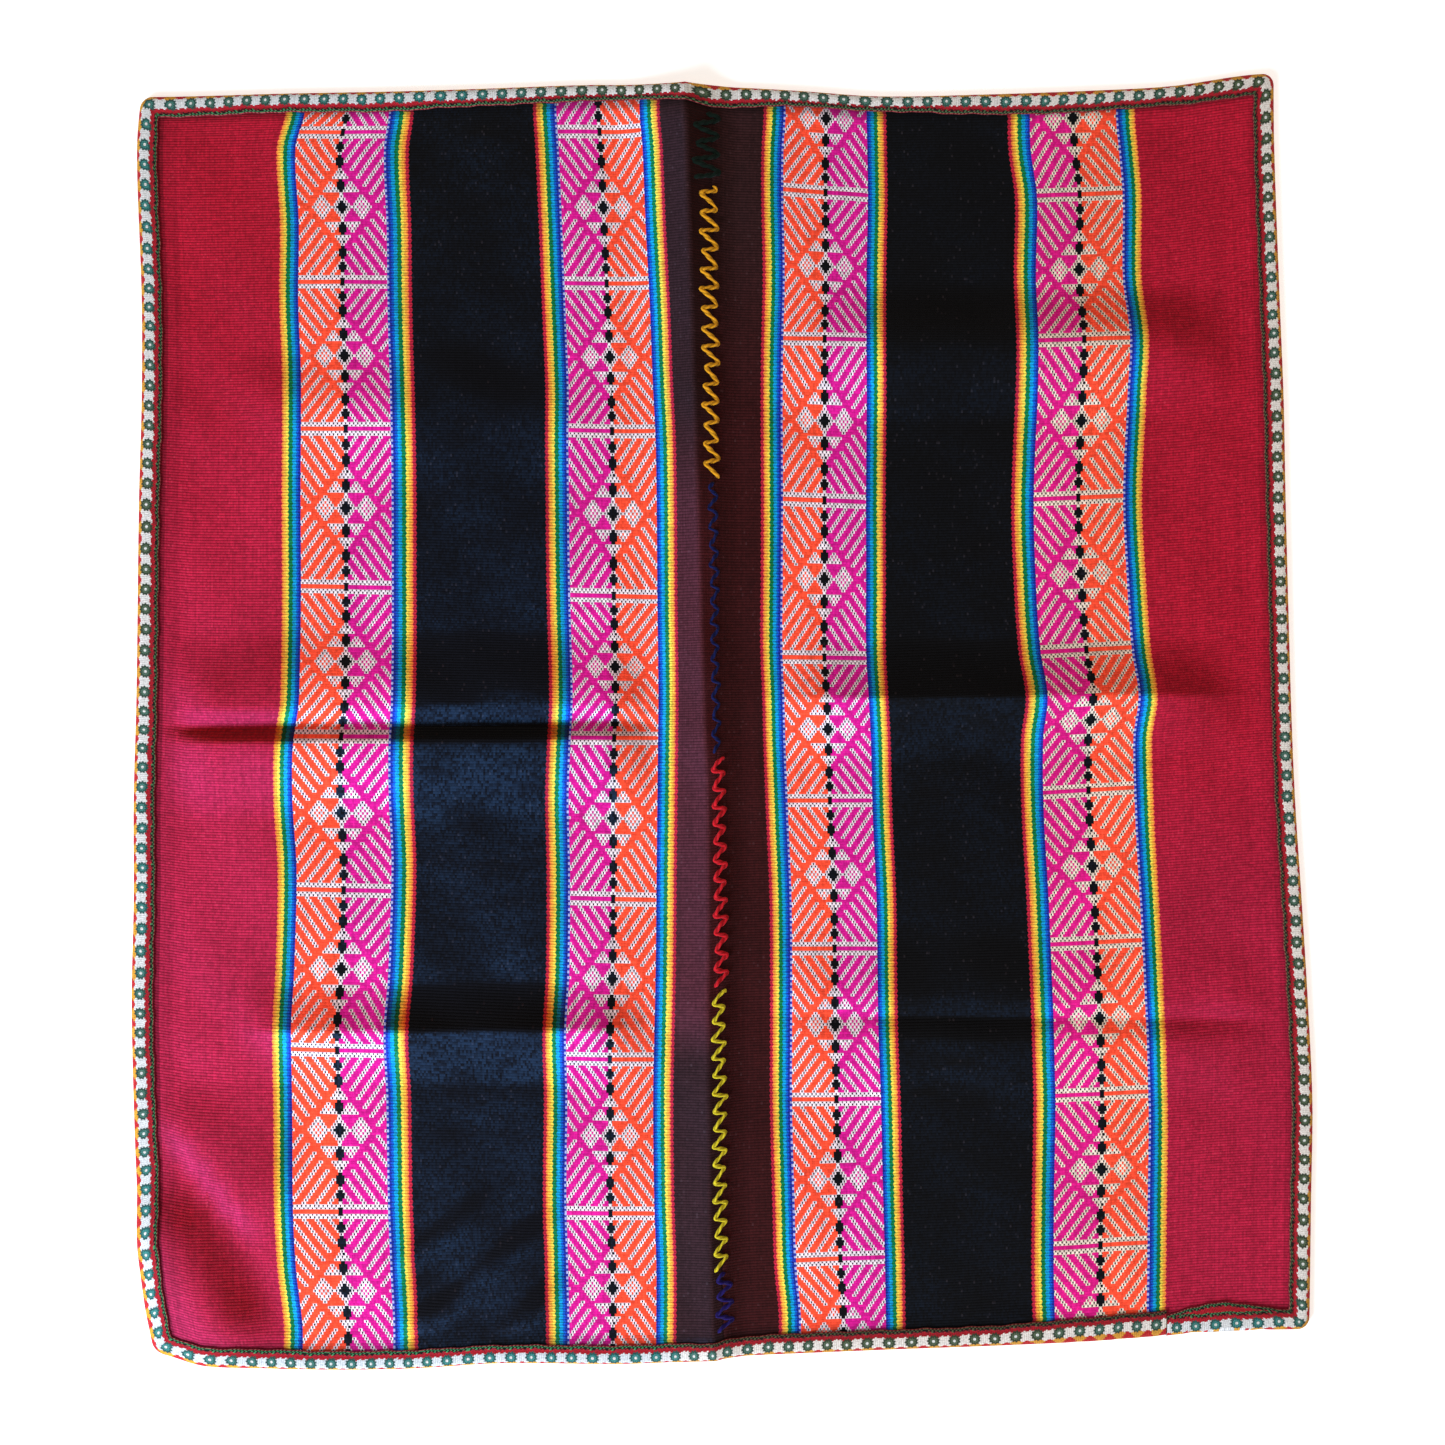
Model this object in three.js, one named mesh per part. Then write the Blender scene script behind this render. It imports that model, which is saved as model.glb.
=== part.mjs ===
// A carrying cloth lying open and face up, with the creases of its last folding still in it.
// Two woven panels meet edge to edge, a zigzag of coloured yarn sews them together down the
// middle, and one tubular woven band is wrapped round the whole edge.
// Millimetres, +Z up, +Y towards the far edge, and the cloth rests on z = 0.

import * as THREE from 'three';

// Driving dimensions

const CLOTH_WIDTH = 864;
const CLOTH_LENGTH = 944;
const SEAM_AT = 432;
const CREST_AT = 421;
const CLOTH_THICK = 1.6;
const CLEARANCE = 0.3;

const BAND_REACH = 17;
const BAND_BACK_REACH = 15;
const BAND_TALL = 6;
const BAND_FLOOR = 1.5;
const BAND_WALL = 2;
const BAND_SHOULDER = 4;
const BAND_HEEL = 3;
const BAND_LIP = { drop: 1.1, back: 2.5 };
const BAND_CORNER = 9;
const BAND_INNER_CORNER = 0.8;
const BAND_CORNER_STEPS = 4;
const BAND_JOIN_AT = 758;
const BAND_JOIN_GAP = 0.5;
const BAND_BUNCH = { from: 758, to: 846, extra: 7 };
const BAND_SLOT_SPARE = 0.8;

const HEM_LIFT = BAND_FLOOR + CLEARANCE;
const HEM_FALL = 15;
const PANEL_INSET = BAND_WALL + BAND_SLOT_SPARE;

const FOLD_SHARPNESS = 1.5;
const YARN_RADIUS = 1.5;
const YARN_CLEARANCE = 0.4;

// The four lines that run from the near edge to the far edge, as x at each y

const LONG_LINES = [
  { y: -488, left: -425, crest: -6, seam: 1, right: 438 },
  { y: -436, left: -432.5, crest: -8, seam: 0, right: 439 },
  { y: -361, left: -438, crest: -9.5, seam: -1, right: 440 },
  { y: -286, left: -441, crest: -10.5, seam: -1.5, right: 441 },
  { y: -210, left: -442.5, crest: -11, seam: -2.5, right: 437.5 },
  { y: -136, left: -441, crest: -10.5, seam: -3, right: 433 },
  { y: -60, left: -441, crest: -11, seam: -4.2, right: 428 },
  { y: 14, left: -439, crest: -14, seam: -5, right: 425 },
  { y: 164, left: -437, crest: -18.5, seam: -6.5, right: 421 },
  { y: 239, left: -435, crest: -21, seam: -7, right: 419.5 },
  { y: 314, left: -435, crest: -23.5, seam: -7.5, right: 416.5 },
  { y: 426, left: -438.5, crest: -27, seam: -8.5, right: 412.5 },
  { y: 484, left: -434.5, crest: -28.5, seam: -9, right: 412 },
];

// The near and far edges, as y at each distance across the cloth

const CROSS_LINES = [
  { across: 0, near: -475, far: 465 },
  { across: 40, near: -483.5, far: 465.5 },
  { across: 110, near: -487, far: 467.5 },
  { across: 190, near: -486.5, far: 469 },
  { across: 260, near: -482.5, far: 471 },
  { across: 350, near: -483, far: 474 },
  { across: 390, near: -481.5, far: 473.3 },
  { across: 417, near: -479.5, far: 472.5 },
  { across: 445, near: -477, far: 472.3 },
  { across: 500, near: -474.5, far: 469.5 },
  { across: 560, near: -472, far: 465.5 },
  { across: 640, near: -469, far: 466.8 },
  { across: 730, near: -464.5, far: 470 },
  { across: 784, near: -459.5, far: 473 },
  { across: 864, near: -457, far: 482.5 },
];

// The long ridge beside the seam: how high it stands and how far each slope runs out

const RIDGE = [
  { y: -488, height: 4, leftFoot: 40, rightFoot: 26 },
  { y: -450, height: 8, leftFoot: 40, rightFoot: 26 },
  { y: -300, height: 10, leftFoot: 42, rightFoot: 28 },
  { y: 0, height: 11, leftFoot: 46, rightFoot: 30 },
  { y: 300, height: 14, leftFoot: 50, rightFoot: 34 },
  { y: 445, height: 18, leftFoot: 54, rightFoot: 38 },
  { y: 484, height: 8, leftFoot: 54, rightFoot: 38 },
];

// Creases: a straight crest from (x0, y0) to (x1, y1), the run and the shape of the slope on the
// right and on the left of that way, and the length over which each end fades

const CREASES = [
  {
    place: 'upper left', x0: -405, y0: 226, x1: -60, y1: 234, height: 4,
    rightFoot: 60, rightShape: 'soft', leftFoot: 50, leftShape: 'soft', fade0: 90, fade1: 90,
  },
  {
    place: 'middle left, far side of the valley', x0: -422, y0: 7, x1: -42, y1: 11, height: 9,
    rightFoot: 14, rightShape: 'valley', leftFoot: 60, leftShape: 'soft', fade0: 44, fade1: 50,
  },
  {
    place: 'middle left, near side of the valley', x0: -422, y0: -19, x1: -42, y1: -15, height: 13,
    rightFoot: 60, rightShape: 'soft', leftFoot: 12, leftShape: 'valley', fade0: 44, fade1: 50,
  },
  {
    place: 'lower left', x0: -372, y0: -233, x1: -42, y1: -231, height: 12,
    rightFoot: 44, rightShape: 'crisp', leftFoot: 34, leftShape: 'crisp', fade0: 60, fade1: 60,
  },
  {
    place: 'left corner, inner side of the valley', x0: -420, y0: -282, x1: -332, y1: -394, height: 8,
    rightFoot: 24, rightShape: 'soft', leftFoot: 80, leftShape: 'soft', fade0: 44, fade1: 50,
  },
  {
    place: 'left corner, outer side of the valley', x0: -436, y0: -346, x1: -352, y1: -492, height: 11,
    rightFoot: 56, rightShape: 'soft', leftFoot: 46, leftShape: 'soft', fade0: 50, fade1: 50,
  },
  {
    place: 'upper right', x0: 20, y0: 274, x1: 399, y1: 278, height: 16,
    rightFoot: 56, rightShape: 'soft', leftFoot: 50, leftShape: 'soft', fade0: 110, fade1: 90,
  },
  {
    place: 'middle right', x0: 20, y0: 14, x1: 406, y1: 18, height: 18,
    rightFoot: 48, rightShape: 'crisp', leftFoot: 44, leftShape: 'crisp', fade0: 70, fade1: 90,
  },
  {
    place: 'lower right, far side of the valley', x0: 26, y0: -206, x1: 418, y1: -210, height: 4,
    rightFoot: 16, rightShape: 'valley', leftFoot: 50, leftShape: 'soft', fade0: 60, fade1: 44,
  },
  {
    place: 'lower right, near side of the valley', x0: 26, y0: -238, x1: 418, y1: -242, height: 5,
    rightFoot: 50, rightShape: 'soft', leftFoot: 16, leftShape: 'valley', fade0: 60, fade1: 44,
  },
];

// Lengths of yarn in the seam, from the near edge to the far edge

const YARNS = [
  { name: 'seam_violet', colour: 0x2a1a7e, from: 21, to: 63, pitch: 13, reachLeft: 5.5, reachRight: 6 },
  { name: 'seam_yellow', colour: 0xd8cf1e, from: 67, to: 273, pitch: 13, reachLeft: 6.5, reachRight: 3 },
  { name: 'seam_red', colour: 0xc8101a, from: 277, to: 445, pitch: 13, reachLeft: 4, reachRight: 5 },
  { name: 'seam_navy', colour: 0x152a6e, from: 449, to: 649, pitch: 14, reachLeft: 3.5, reachRight: 2.5 },
  { name: 'seam_gold', colour: 0xe0a010, from: 653, to: 867, pitch: 14.3, reachLeft: 5.4, reachRight: 3.2 },
  { name: 'seam_green', colour: 0x0a2e22, from: 871, to: 921, pitch: 13, reachLeft: 6.5, reachRight: 4.5 },
];

// Lines of the grid on which the panels and the band are built, from the left and the near edge

const HEM_LINES = [
  PANEL_INSET, BAND_CORNER, BAND_REACH + CLEARANCE, BAND_REACH + HEM_FALL / 2, BAND_REACH + HEM_FALL,
];
const LEFT_COLUMNS = [
  44, 56, 68, 80, 95, 110, 125, 140, 200, 260, 320, 361, 378, 391, 401, 411, CREST_AT, 425, 428,
];
const RIGHT_COLUMNS = [437, 442, 447, 452, 459, 468, 500, 560, 620, 680, 735, BAND_JOIN_AT, 785, 805, 820];
const LEFT_ROWS = [
  46, 62, 78, 95, 112, 130, 148, 165, 182, 198, 218, 233, 243, 248, 253, 266, 284, 330, 385, 415, 442,
  452, 460, 466, 472, 478, 486, 494, 505, 525, 548, 600, 664, 690, 707, 732, 760, 800, 850, 885,
];
const RIGHT_ROWS = [
  75, 120, 165, 202, 220, 229, 236, 242, 247, 253, 268, 295, 340, 400, 445, 462, 474, 481, 488, 495,
  508, 530, 580, 640, 690, 712, 727, 739, 749, 760, 778, 800, 850, 885,
];
const SIDE_STATIONS = [
  46, 62, 78, 95, 112, 130, 148, 165, 182, 198, 218, 233, 243, 248, 253, 266, 284, 330, 380, 430, 480,
  530, 580, 630, 680, 730, 780, 830, 880,
];

// Smooth curves through the tables

function curveThrough(rows, key, columns) {
  const positions = rows.map((row) => row[key]);
  const values = rows.flatMap((row) => columns.map((column) => row[column]));
  return new THREE.CubicInterpolant(positions, values, columns.length);
}

const longLines = curveThrough(LONG_LINES, 'y', ['left', 'crest', 'seam', 'right']);
const crossLines = curveThrough(CROSS_LINES, 'across', ['near', 'far']);
const ridge = curveThrough(RIDGE, 'y', ['height', 'leftFoot', 'rightFoot']);

// Where a point of the flat cloth lies on the floor

function plan(across, along) {
  const [near, far] = crossLines.evaluate(across);
  const y = THREE.MathUtils.mapLinear(along, 0, CLOTH_LENGTH, near, far);
  const [left, crest, seam, right] = longLines.evaluate(y);
  if (across < CREST_AT) {
    return [THREE.MathUtils.mapLinear(across, 0, CREST_AT, left, crest), y];
  }
  if (across < SEAM_AT) {
    return [THREE.MathUtils.mapLinear(across, CREST_AT, SEAM_AT, crest, seam), y];
  }
  return [THREE.MathUtils.mapLinear(across, SEAM_AT, CLOTH_WIDTH, seam, right), y];
}

// How a slope falls from 1 at the crest to 0 at its foot
const SLOPES = {
  crisp: (run) => (1 - run) ** FOLD_SHARPNESS,
  valley: (run) => 1 - run ** FOLD_SHARPNESS,
  soft: (run) => 1 - THREE.MathUtils.smoothstep(run, 0, 1),
};

function fall(distance, foot, shape) {
  return SLOPES[shape](Math.min(Math.abs(distance) / foot, 1));
}

function ridgeHeight(x, y) {
  const crest = longLines.evaluate(y)[1];
  const [height, leftFoot, rightFoot] = ridge.evaluate(y);
  const foot = x < crest ? leftFoot : rightFoot;
  return height * fall(x - crest, foot, 'crisp');
}

function creaseHeight(crease, x, y) {
  const start = new THREE.Vector2(crease.x0, crease.y0);
  const way = new THREE.Vector2(crease.x1, crease.y1).sub(start);
  const length = way.length();
  const offset = new THREE.Vector2(x, y).sub(start);
  const along = offset.dot(way) / length;
  const toLeft = way.cross(offset) / length;
  const fadeIn = THREE.MathUtils.smoothstep(along, 0, crease.fade0);
  const fadeOut = 1 - THREE.MathUtils.smoothstep(along, length - crease.fade1, length);
  const side = toLeft > 0
    ? fall(toLeft, crease.leftFoot, crease.leftShape)
    : fall(toLeft, crease.rightFoot, crease.rightShape);
  return crease.height * fadeIn * fadeOut * side;
}

function foldHeight(x, y) {
  const creases = CREASES.map((crease) => creaseHeight(crease, x, y));
  return creases.reduce((sum, height) => sum + height, ridgeHeight(x, y));
}

function lay(across, along, lift) {
  const [x, y] = plan(across, along);
  return new THREE.Vector3(x, y, foldHeight(x, y) + lift);
}

// A closed solid swept through sections, each a strip with an upper and a lower chain of points

function sweep(sections) {
  const chain = sections[0].upper.length;
  const ring = 2 * chain;
  const points = sections.flatMap(({ upper, lower }) => [...upper, ...lower.toReversed()]);
  const faces = [];
  for (let section = 0; section < sections.length - 1; section += 1) {
    const here = section * ring;
    const next = here + ring;
    for (let i = 0; i < ring; i += 1) {
      const j = (i + 1) % ring;
      faces.push(here + i, here + j, next + j);
      faces.push(here + i, next + j, next + i);
    }
  }
  const last = (sections.length - 1) * ring;
  for (let i = 0; i < chain - 1; i += 1) {
    const below = ring - 1 - i;
    faces.push(below, i + 1, i);
    faces.push(below, below - 1, i + 1);
    faces.push(last + i, last + i + 1, last + below);
    faces.push(last + i + 1, last + below - 1, last + below);
  }
  const geometry = new THREE.BufferGeometry().setFromPoints(points);
  geometry.setIndex(faces);
  geometry.computeVertexNormals();
  return geometry;
}

function piece(name, geometry, colour, roughness) {
  const material = new THREE.MeshStandardMaterial({ color: colour, roughness, metalness: 0 });
  const mesh = new THREE.Mesh(geometry, material);
  mesh.name = name;
  return mesh;
}

// The woven panels

// The cloth climbs a little where the band's back lies under it
function hemLift(across, along) {
  const fromSide = Math.min(across, CLOTH_WIDTH - across);
  const fromEnd = Math.min(along, CLOTH_LENGTH - along);
  const inside = Math.min(fromSide, fromEnd) - BAND_REACH;
  return HEM_LIFT * (1 - THREE.MathUtils.smoothstep(inside, 0, HEM_FALL));
}

// Pulls a point of the panel in from the square corner to the round one inside the band
function roundCorner(across, along) {
  const centreAcross = THREE.MathUtils.clamp(across, BAND_CORNER, CLOTH_WIDTH - BAND_CORNER);
  const centreAlong = THREE.MathUtils.clamp(along, BAND_CORNER, CLOTH_LENGTH - BAND_CORNER);
  const offset = new THREE.Vector2(across - centreAcross, along - centreAlong);
  offset.clampLength(0, BAND_CORNER - PANEL_INSET);
  return [centreAcross + offset.x, centreAlong + offset.y];
}

function panel(name, colour, columns, rows) {
  const sections = rows.map((row) => {
    const flat = columns.map((column) => roundCorner(column, row));
    const lower = flat.map(([across, along]) => lay(across, along, hemLift(across, along)));
    const upper = lower.map((point) => point.clone().setZ(point.z + CLOTH_THICK));
    return { upper, lower };
  });
  return piece(name, sweep(sections), colour, 0.85);
}

function mirrored(lines, size) {
  return lines.map((line) => size - line).toReversed();
}

function withHems(lines) {
  return [...HEM_LINES, ...lines, ...mirrored(HEM_LINES, CLOTH_LENGTH)];
}

const leftSeamEdge = SEAM_AT - CLEARANCE / 2;
const rightSeamEdge = SEAM_AT + CLEARANCE / 2;
const leftColumns = [...HEM_LINES, ...LEFT_COLUMNS, leftSeamEdge];
const rightColumns = [rightSeamEdge, ...RIGHT_COLUMNS, ...mirrored(HEM_LINES, CLOTH_WIDTH)];
const leftRows = withHems(LEFT_ROWS);
const rightRows = withHems(RIGHT_ROWS);

// The edge band

// How far the band's face reaches in, with the bunched stretch after its join
function bandReach(across) {
  const bunched = THREE.MathUtils.inverseLerp(BAND_BUNCH.from, BAND_BUNCH.to, across);
  return BAND_REACH + BAND_BUNCH.extra * Math.sin(Math.PI * THREE.MathUtils.clamp(bunched, 0, 1));
}

// The band's section, as the distance in from the edge and the height above the floor
function bandProfile(reach) {
  const slotFloor = BAND_FLOOR;
  const slotRoof = HEM_LIFT + CLOTH_THICK + CLEARANCE;
  const middle = BAND_REACH / 2;
  const upper = [
    [reach, BAND_TALL - BAND_LIP.drop],
    [reach - BAND_LIP.back, BAND_TALL],
    [BAND_SHOULDER, BAND_TALL],
    [0, BAND_TALL / 2],
    [BAND_HEEL, 0],
    [BAND_BACK_REACH, 0],
  ];
  const lower = [
    [reach, slotRoof],
    [middle, slotRoof],
    [BAND_WALL, slotRoof],
    [BAND_WALL, slotFloor],
    [middle, slotFloor],
    [BAND_BACK_REACH, slotFloor],
  ];
  return { upper, lower };
}

function bandSection(reach, flatPoint) {
  const place = ([inward, height]) => lay(...flatPoint(inward), height);
  const { upper, lower } = bandProfile(reach);
  return { upper: upper.map(place), lower: lower.map(place) };
}

// The round corner at a given depth: outer depths share a centre, inner ones keep a small radius
function bandCorner(cornerAcross, cornerAlong, startAngle) {
  const sections = [];
  for (let step = 0; step <= BAND_CORNER_STEPS; step += 1) {
    const angle = startAngle + (step / BAND_CORNER_STEPS) * (Math.PI / 2);
    const signAcross = cornerAcross > 0 ? -1 : 1;
    const signAlong = cornerAlong > 0 ? -1 : 1;
    const flatPoint = (inward) => {
      const radius = Math.max(BAND_CORNER - inward, BAND_INNER_CORNER);
      const centre = inward + radius;
      const across = cornerAcross + signAcross * centre + radius * Math.cos(angle);
      const along = cornerAlong + signAlong * centre + radius * Math.sin(angle);
      return [across, along];
    };
    sections.push(bandSection(BAND_REACH, flatPoint));
  }
  return sections;
}

function insideCorners(lines, size) {
  const margin = BAND_REACH + 2 * BAND_INNER_CORNER;
  return lines.filter((line) => line > margin && line < size - margin);
}

function edgeBand() {
  const columns = insideCorners([...leftColumns, ...rightColumns.slice(1)], CLOTH_WIDTH);
  const afterJoin = columns.filter((across) => across > BAND_JOIN_AT);
  const beforeJoin = columns.filter((across) => across <= BAND_JOIN_AT);
  const sides = insideCorners(withHems(SIDE_STATIONS), CLOTH_LENGTH);
  const nearSection = (across) => bandSection(bandReach(across), (w) => [across, w]);
  const farSection = (across) => bandSection(BAND_REACH, (w) => [across, CLOTH_LENGTH - w]);
  const rightSection = (along) => bandSection(BAND_REACH, (w) => [CLOTH_WIDTH - w, along]);
  const leftSection = (along) => bandSection(BAND_REACH, (w) => [w, along]);
  return sweep([
    nearSection(BAND_JOIN_AT + BAND_JOIN_GAP),
    ...afterJoin.map(nearSection),
    ...bandCorner(CLOTH_WIDTH, 0, -Math.PI / 2),
    ...sides.map(rightSection),
    ...bandCorner(CLOTH_WIDTH, CLOTH_LENGTH, 0),
    ...columns.toReversed().map(farSection),
    ...bandCorner(0, CLOTH_LENGTH, Math.PI / 2),
    ...sides.toReversed().map(leftSection),
    ...bandCorner(0, 0, Math.PI),
    ...beforeJoin.map(nearSection),
  ]);
}

// The seam's zigzag of yarn

function zigzag({ from, to, pitch, reachLeft, reachRight }) {
  const lift = CLOTH_THICK + YARN_CLEARANCE + YARN_RADIUS;
  const turns = Math.round((to - from) / (pitch / 2));
  const path = [];
  for (let turn = 0; turn <= turns; turn += 1) {
    const along = THREE.MathUtils.lerp(from, to, turn / turns);
    const half = (to - from) / turns / 2;
    const across = turn % 2 === 0 ? SEAM_AT - reachLeft : SEAM_AT + reachRight;
    path.push(lay(across, along, lift + hemLift(across, along)));
    if (turn < turns) {
      const middle = SEAM_AT + (reachRight - reachLeft) / 2;
      path.push(lay(middle, along + half, lift + hemLift(middle, along + half)));
    }
  }
  return path;
}

function yarn(path, radius) {
  const up = new THREE.Vector3(0, 0, radius);
  const sections = path.map((point, index) => {
    const before = path[Math.max(index - 1, 0)];
    const after = path[Math.min(index + 1, path.length - 1)];
    const forward = after.clone().sub(before);
    const side = forward.cross(up).setZ(0).setLength(radius);
    const upper = [point.clone().sub(side), point.clone().add(up)];
    const lower = [point.clone().sub(up), point.clone().add(side)];
    return { upper, lower };
  });
  return sweep(sections);
}

// The whole cloth

const model = new THREE.Group();
model.add(panel('panel_left', 0x8a1530, leftColumns, leftRows));
model.add(panel('panel_right', 0x7a1226, rightColumns, rightRows));
model.add(piece('edging', edgeBand(), 0x9a8f80, 0.9));
for (const length of YARNS) {
  model.add(piece(length.name, yarn(zigzag(length), YARN_RADIUS), length.colour, 0.9));
}

export default model;
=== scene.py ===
# %% [markdown]
# # A carrying cloth, woven stripe by stripe
#
# The object is an aguayo, a square carrying cloth of the Andes, spread open on a pale floor. Two
# long panels were woven on the loom, sewn edge to edge with bright yarn, and bound with a tubular
# woven band that is full of small eyes. The solids of the part already hold its size and its
# folds. This lesson makes the weave: every pick and every pattern cell is a face of a mesh.

import bpy
import numpy as np
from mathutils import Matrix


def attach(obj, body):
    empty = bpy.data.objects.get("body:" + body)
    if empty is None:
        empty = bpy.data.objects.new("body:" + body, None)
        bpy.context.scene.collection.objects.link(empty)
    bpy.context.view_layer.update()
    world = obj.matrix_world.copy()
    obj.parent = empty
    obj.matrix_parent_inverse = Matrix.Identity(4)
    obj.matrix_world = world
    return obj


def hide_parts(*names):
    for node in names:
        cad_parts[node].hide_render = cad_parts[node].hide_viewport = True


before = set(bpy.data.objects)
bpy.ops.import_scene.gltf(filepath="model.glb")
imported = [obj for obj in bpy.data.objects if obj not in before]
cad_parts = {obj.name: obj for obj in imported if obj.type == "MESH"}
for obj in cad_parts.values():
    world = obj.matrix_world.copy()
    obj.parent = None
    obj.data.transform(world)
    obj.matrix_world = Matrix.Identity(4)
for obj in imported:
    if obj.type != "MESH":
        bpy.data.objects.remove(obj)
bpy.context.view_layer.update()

MM = 0.001

# %% [markdown]
# ## How the cloth lies
#
# A cloth on a floor is a height field: each point has a place on the floor and a height. The
# outline and the folds are the ones of the solids, so the same few lines and creases are written
# here again, in millimetres. A smooth curve through a handful of readings is enough for each.

# %% Size of the cloth and smooth curves
CLOTH_WIDTH = 864.0
CLOTH_LENGTH = 944.0
SEAM_AT = 432.0
CREST_AT = 421.0


def smoothstep(value, start, end):
    """0 before start, 1 after end, and 3t^2 - 2t^3 between them."""
    t = np.clip((value - start) / (end - start), 0.0, 1.0)
    return t * t * (3.0 - 2.0 * t)


def curve_through(at, knots, values):
    """Cubic Hermite curve whose slope at a knot is that of the chord between its neighbours."""
    knots, values = np.asarray(knots, float), np.asarray(values, float)
    slopes = np.zeros_like(values)
    slopes[1:-1] = (values[2:] - values[:-2]) / (knots[2:] - knots[:-2])
    i = np.clip(np.searchsorted(knots, at) - 1, 0, len(knots) - 2)
    step = knots[i + 1] - knots[i]
    t = np.clip((at - knots[i]) / step, 0.0, 1.0)
    s = t * t * (3.0 - 2.0 * t)
    ends = values[i] * (1.0 - s) + values[i + 1] * s
    return ends + step * t * (1.0 - t) * (slopes[i] * (1.0 - t) - slopes[i + 1] * t)


print("flat cloth, mm:", CLOTH_WIDTH, "by", CLOTH_LENGTH)

# %% The outline, the crest beside the seam and the seam
# Columns: y, left edge, crest of the long ridge, seam, right edge.
LONG_Y, LEFT_X, CREST_X, SEAM_X, RIGHT_X = np.array([
    (-488, -425.0, -6.0, 1.0, 438.0),
    (-436, -432.5, -8.0, 0.0, 439.0),
    (-361, -438.0, -9.5, -1.0, 440.0),
    (-286, -441.0, -10.5, -1.5, 441.0),
    (-210, -442.5, -11.0, -2.5, 437.5),
    (-136, -441.0, -10.5, -3.0, 433.0),
    (-60, -441.0, -11.0, -4.2, 428.0),
    (14, -439.0, -14.0, -5.0, 425.0),
    (164, -437.0, -18.5, -6.5, 421.0),
    (239, -435.0, -21.0, -7.0, 419.5),
    (314, -435.0, -23.5, -7.5, 416.5),
    (426, -438.5, -27.0, -8.5, 412.5),
    (484, -434.5, -28.5, -9.0, 412.0),
]).T
# Columns: distance across the cloth, near edge, far edge.
CROSS_AT, NEAR_Y, FAR_Y = np.array([
    (0, -475.0, 465.0),
    (40, -483.5, 465.5),
    (110, -487.0, 467.5),
    (190, -486.5, 469.0),
    (260, -482.5, 471.0),
    (350, -483.0, 474.0),
    (390, -481.5, 473.3),
    (417, -479.5, 472.5),
    (445, -477.0, 472.3),
    (500, -474.5, 469.5),
    (560, -472.0, 465.5),
    (640, -469.0, 466.8),
    (730, -464.5, 470.0),
    (784, -459.5, 473.0),
    (864, -457.0, 482.5),
]).T


def ends_at(across):
    """The near and the far edge's y at a distance across the cloth."""
    return curve_through(across, CROSS_AT, NEAR_Y), curve_through(across, CROSS_AT, FAR_Y)


def x_on_floor(across, y):
    """x at y: straight between the left edge, the crest, the seam and the right edge."""
    left, crest, seam, right = (
        curve_through(y, LONG_Y, line) for line in (LEFT_X, CREST_X, SEAM_X, RIGHT_X)
    )
    before = left + (crest - left) * across / CREST_AT
    middle = crest + (seam - crest) * (across - CREST_AT) / (SEAM_AT - CREST_AT)
    after = seam + (right - seam) * (across - SEAM_AT) / (CLOTH_WIDTH - SEAM_AT)
    return np.where(across < CREST_AT, before, np.where(across < SEAM_AT, middle, after))


def on_floor(across, along):
    """Where a point of the flat cloth lies: along runs from the near edge to the far one."""
    near, far = ends_at(across)
    y = near + (far - near) * along / CLOTH_LENGTH
    return x_on_floor(across, y), y


corner_x, corner_y = on_floor(np.array([0.0, CLOTH_WIDTH]), np.array([0.0, CLOTH_LENGTH]))
print("near left and far right corners, mm:", corner_x.round(1), corner_y.round(1))

# %% The folds
# Columns: y, height of the long ridge, run of its left slope, run of its right slope.
RIDGE_Y, RIDGE_HEIGHT, RIDGE_LEFT, RIDGE_RIGHT = np.array([
    (-488, 4, 40, 26),
    (-450, 8, 40, 26),
    (-300, 10, 42, 28),
    (0, 11, 46, 30),
    (300, 14, 50, 34),
    (445, 18, 54, 38),
    (484, 8, 54, 38),
]).T
# A straight crest from x0, y0 to x1, y1, its height, the run and shape of the slopes on the right
# and on the left of that way, and the lengths over which its two ends fade.
CREASES = (
    (-405, 226, -60, 234, 4, 60, "soft", 50, "soft", 90, 90),
    (-422, 7, -42, 11, 9, 14, "valley", 60, "soft", 44, 50),
    (-422, -19, -42, -15, 13, 60, "soft", 12, "valley", 44, 50),
    (-372, -233, -42, -231, 12, 44, "crisp", 34, "crisp", 60, 60),
    (-420, -282, -332, -394, 8, 24, "soft", 80, "soft", 44, 50),
    (-436, -346, -352, -492, 11, 56, "soft", 46, "soft", 50, 50),
    (20, 274, 399, 278, 16, 56, "soft", 50, "soft", 110, 90),
    (20, 14, 406, 18, 18, 48, "crisp", 44, "crisp", 70, 90),
    (26, -206, 418, -210, 4, 16, "valley", 50, "soft", 60, 44),
    (26, -238, 418, -242, 5, 50, "soft", 16, "valley", 60, 44),
)
FOLD_SHARPNESS = 1.5


def slope(distance, foot, shape):
    """Falls from 1 at the crest to 0 at the foot: a power of the run, or a smooth step."""
    run = np.minimum(np.abs(distance) / foot, 1.0)
    if shape == "crisp":
        return (1.0 - run) ** FOLD_SHARPNESS
    if shape == "valley":
        return 1.0 - run ** FOLD_SHARPNESS
    return 1.0 - smoothstep(run, 0.0, 1.0)


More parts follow.
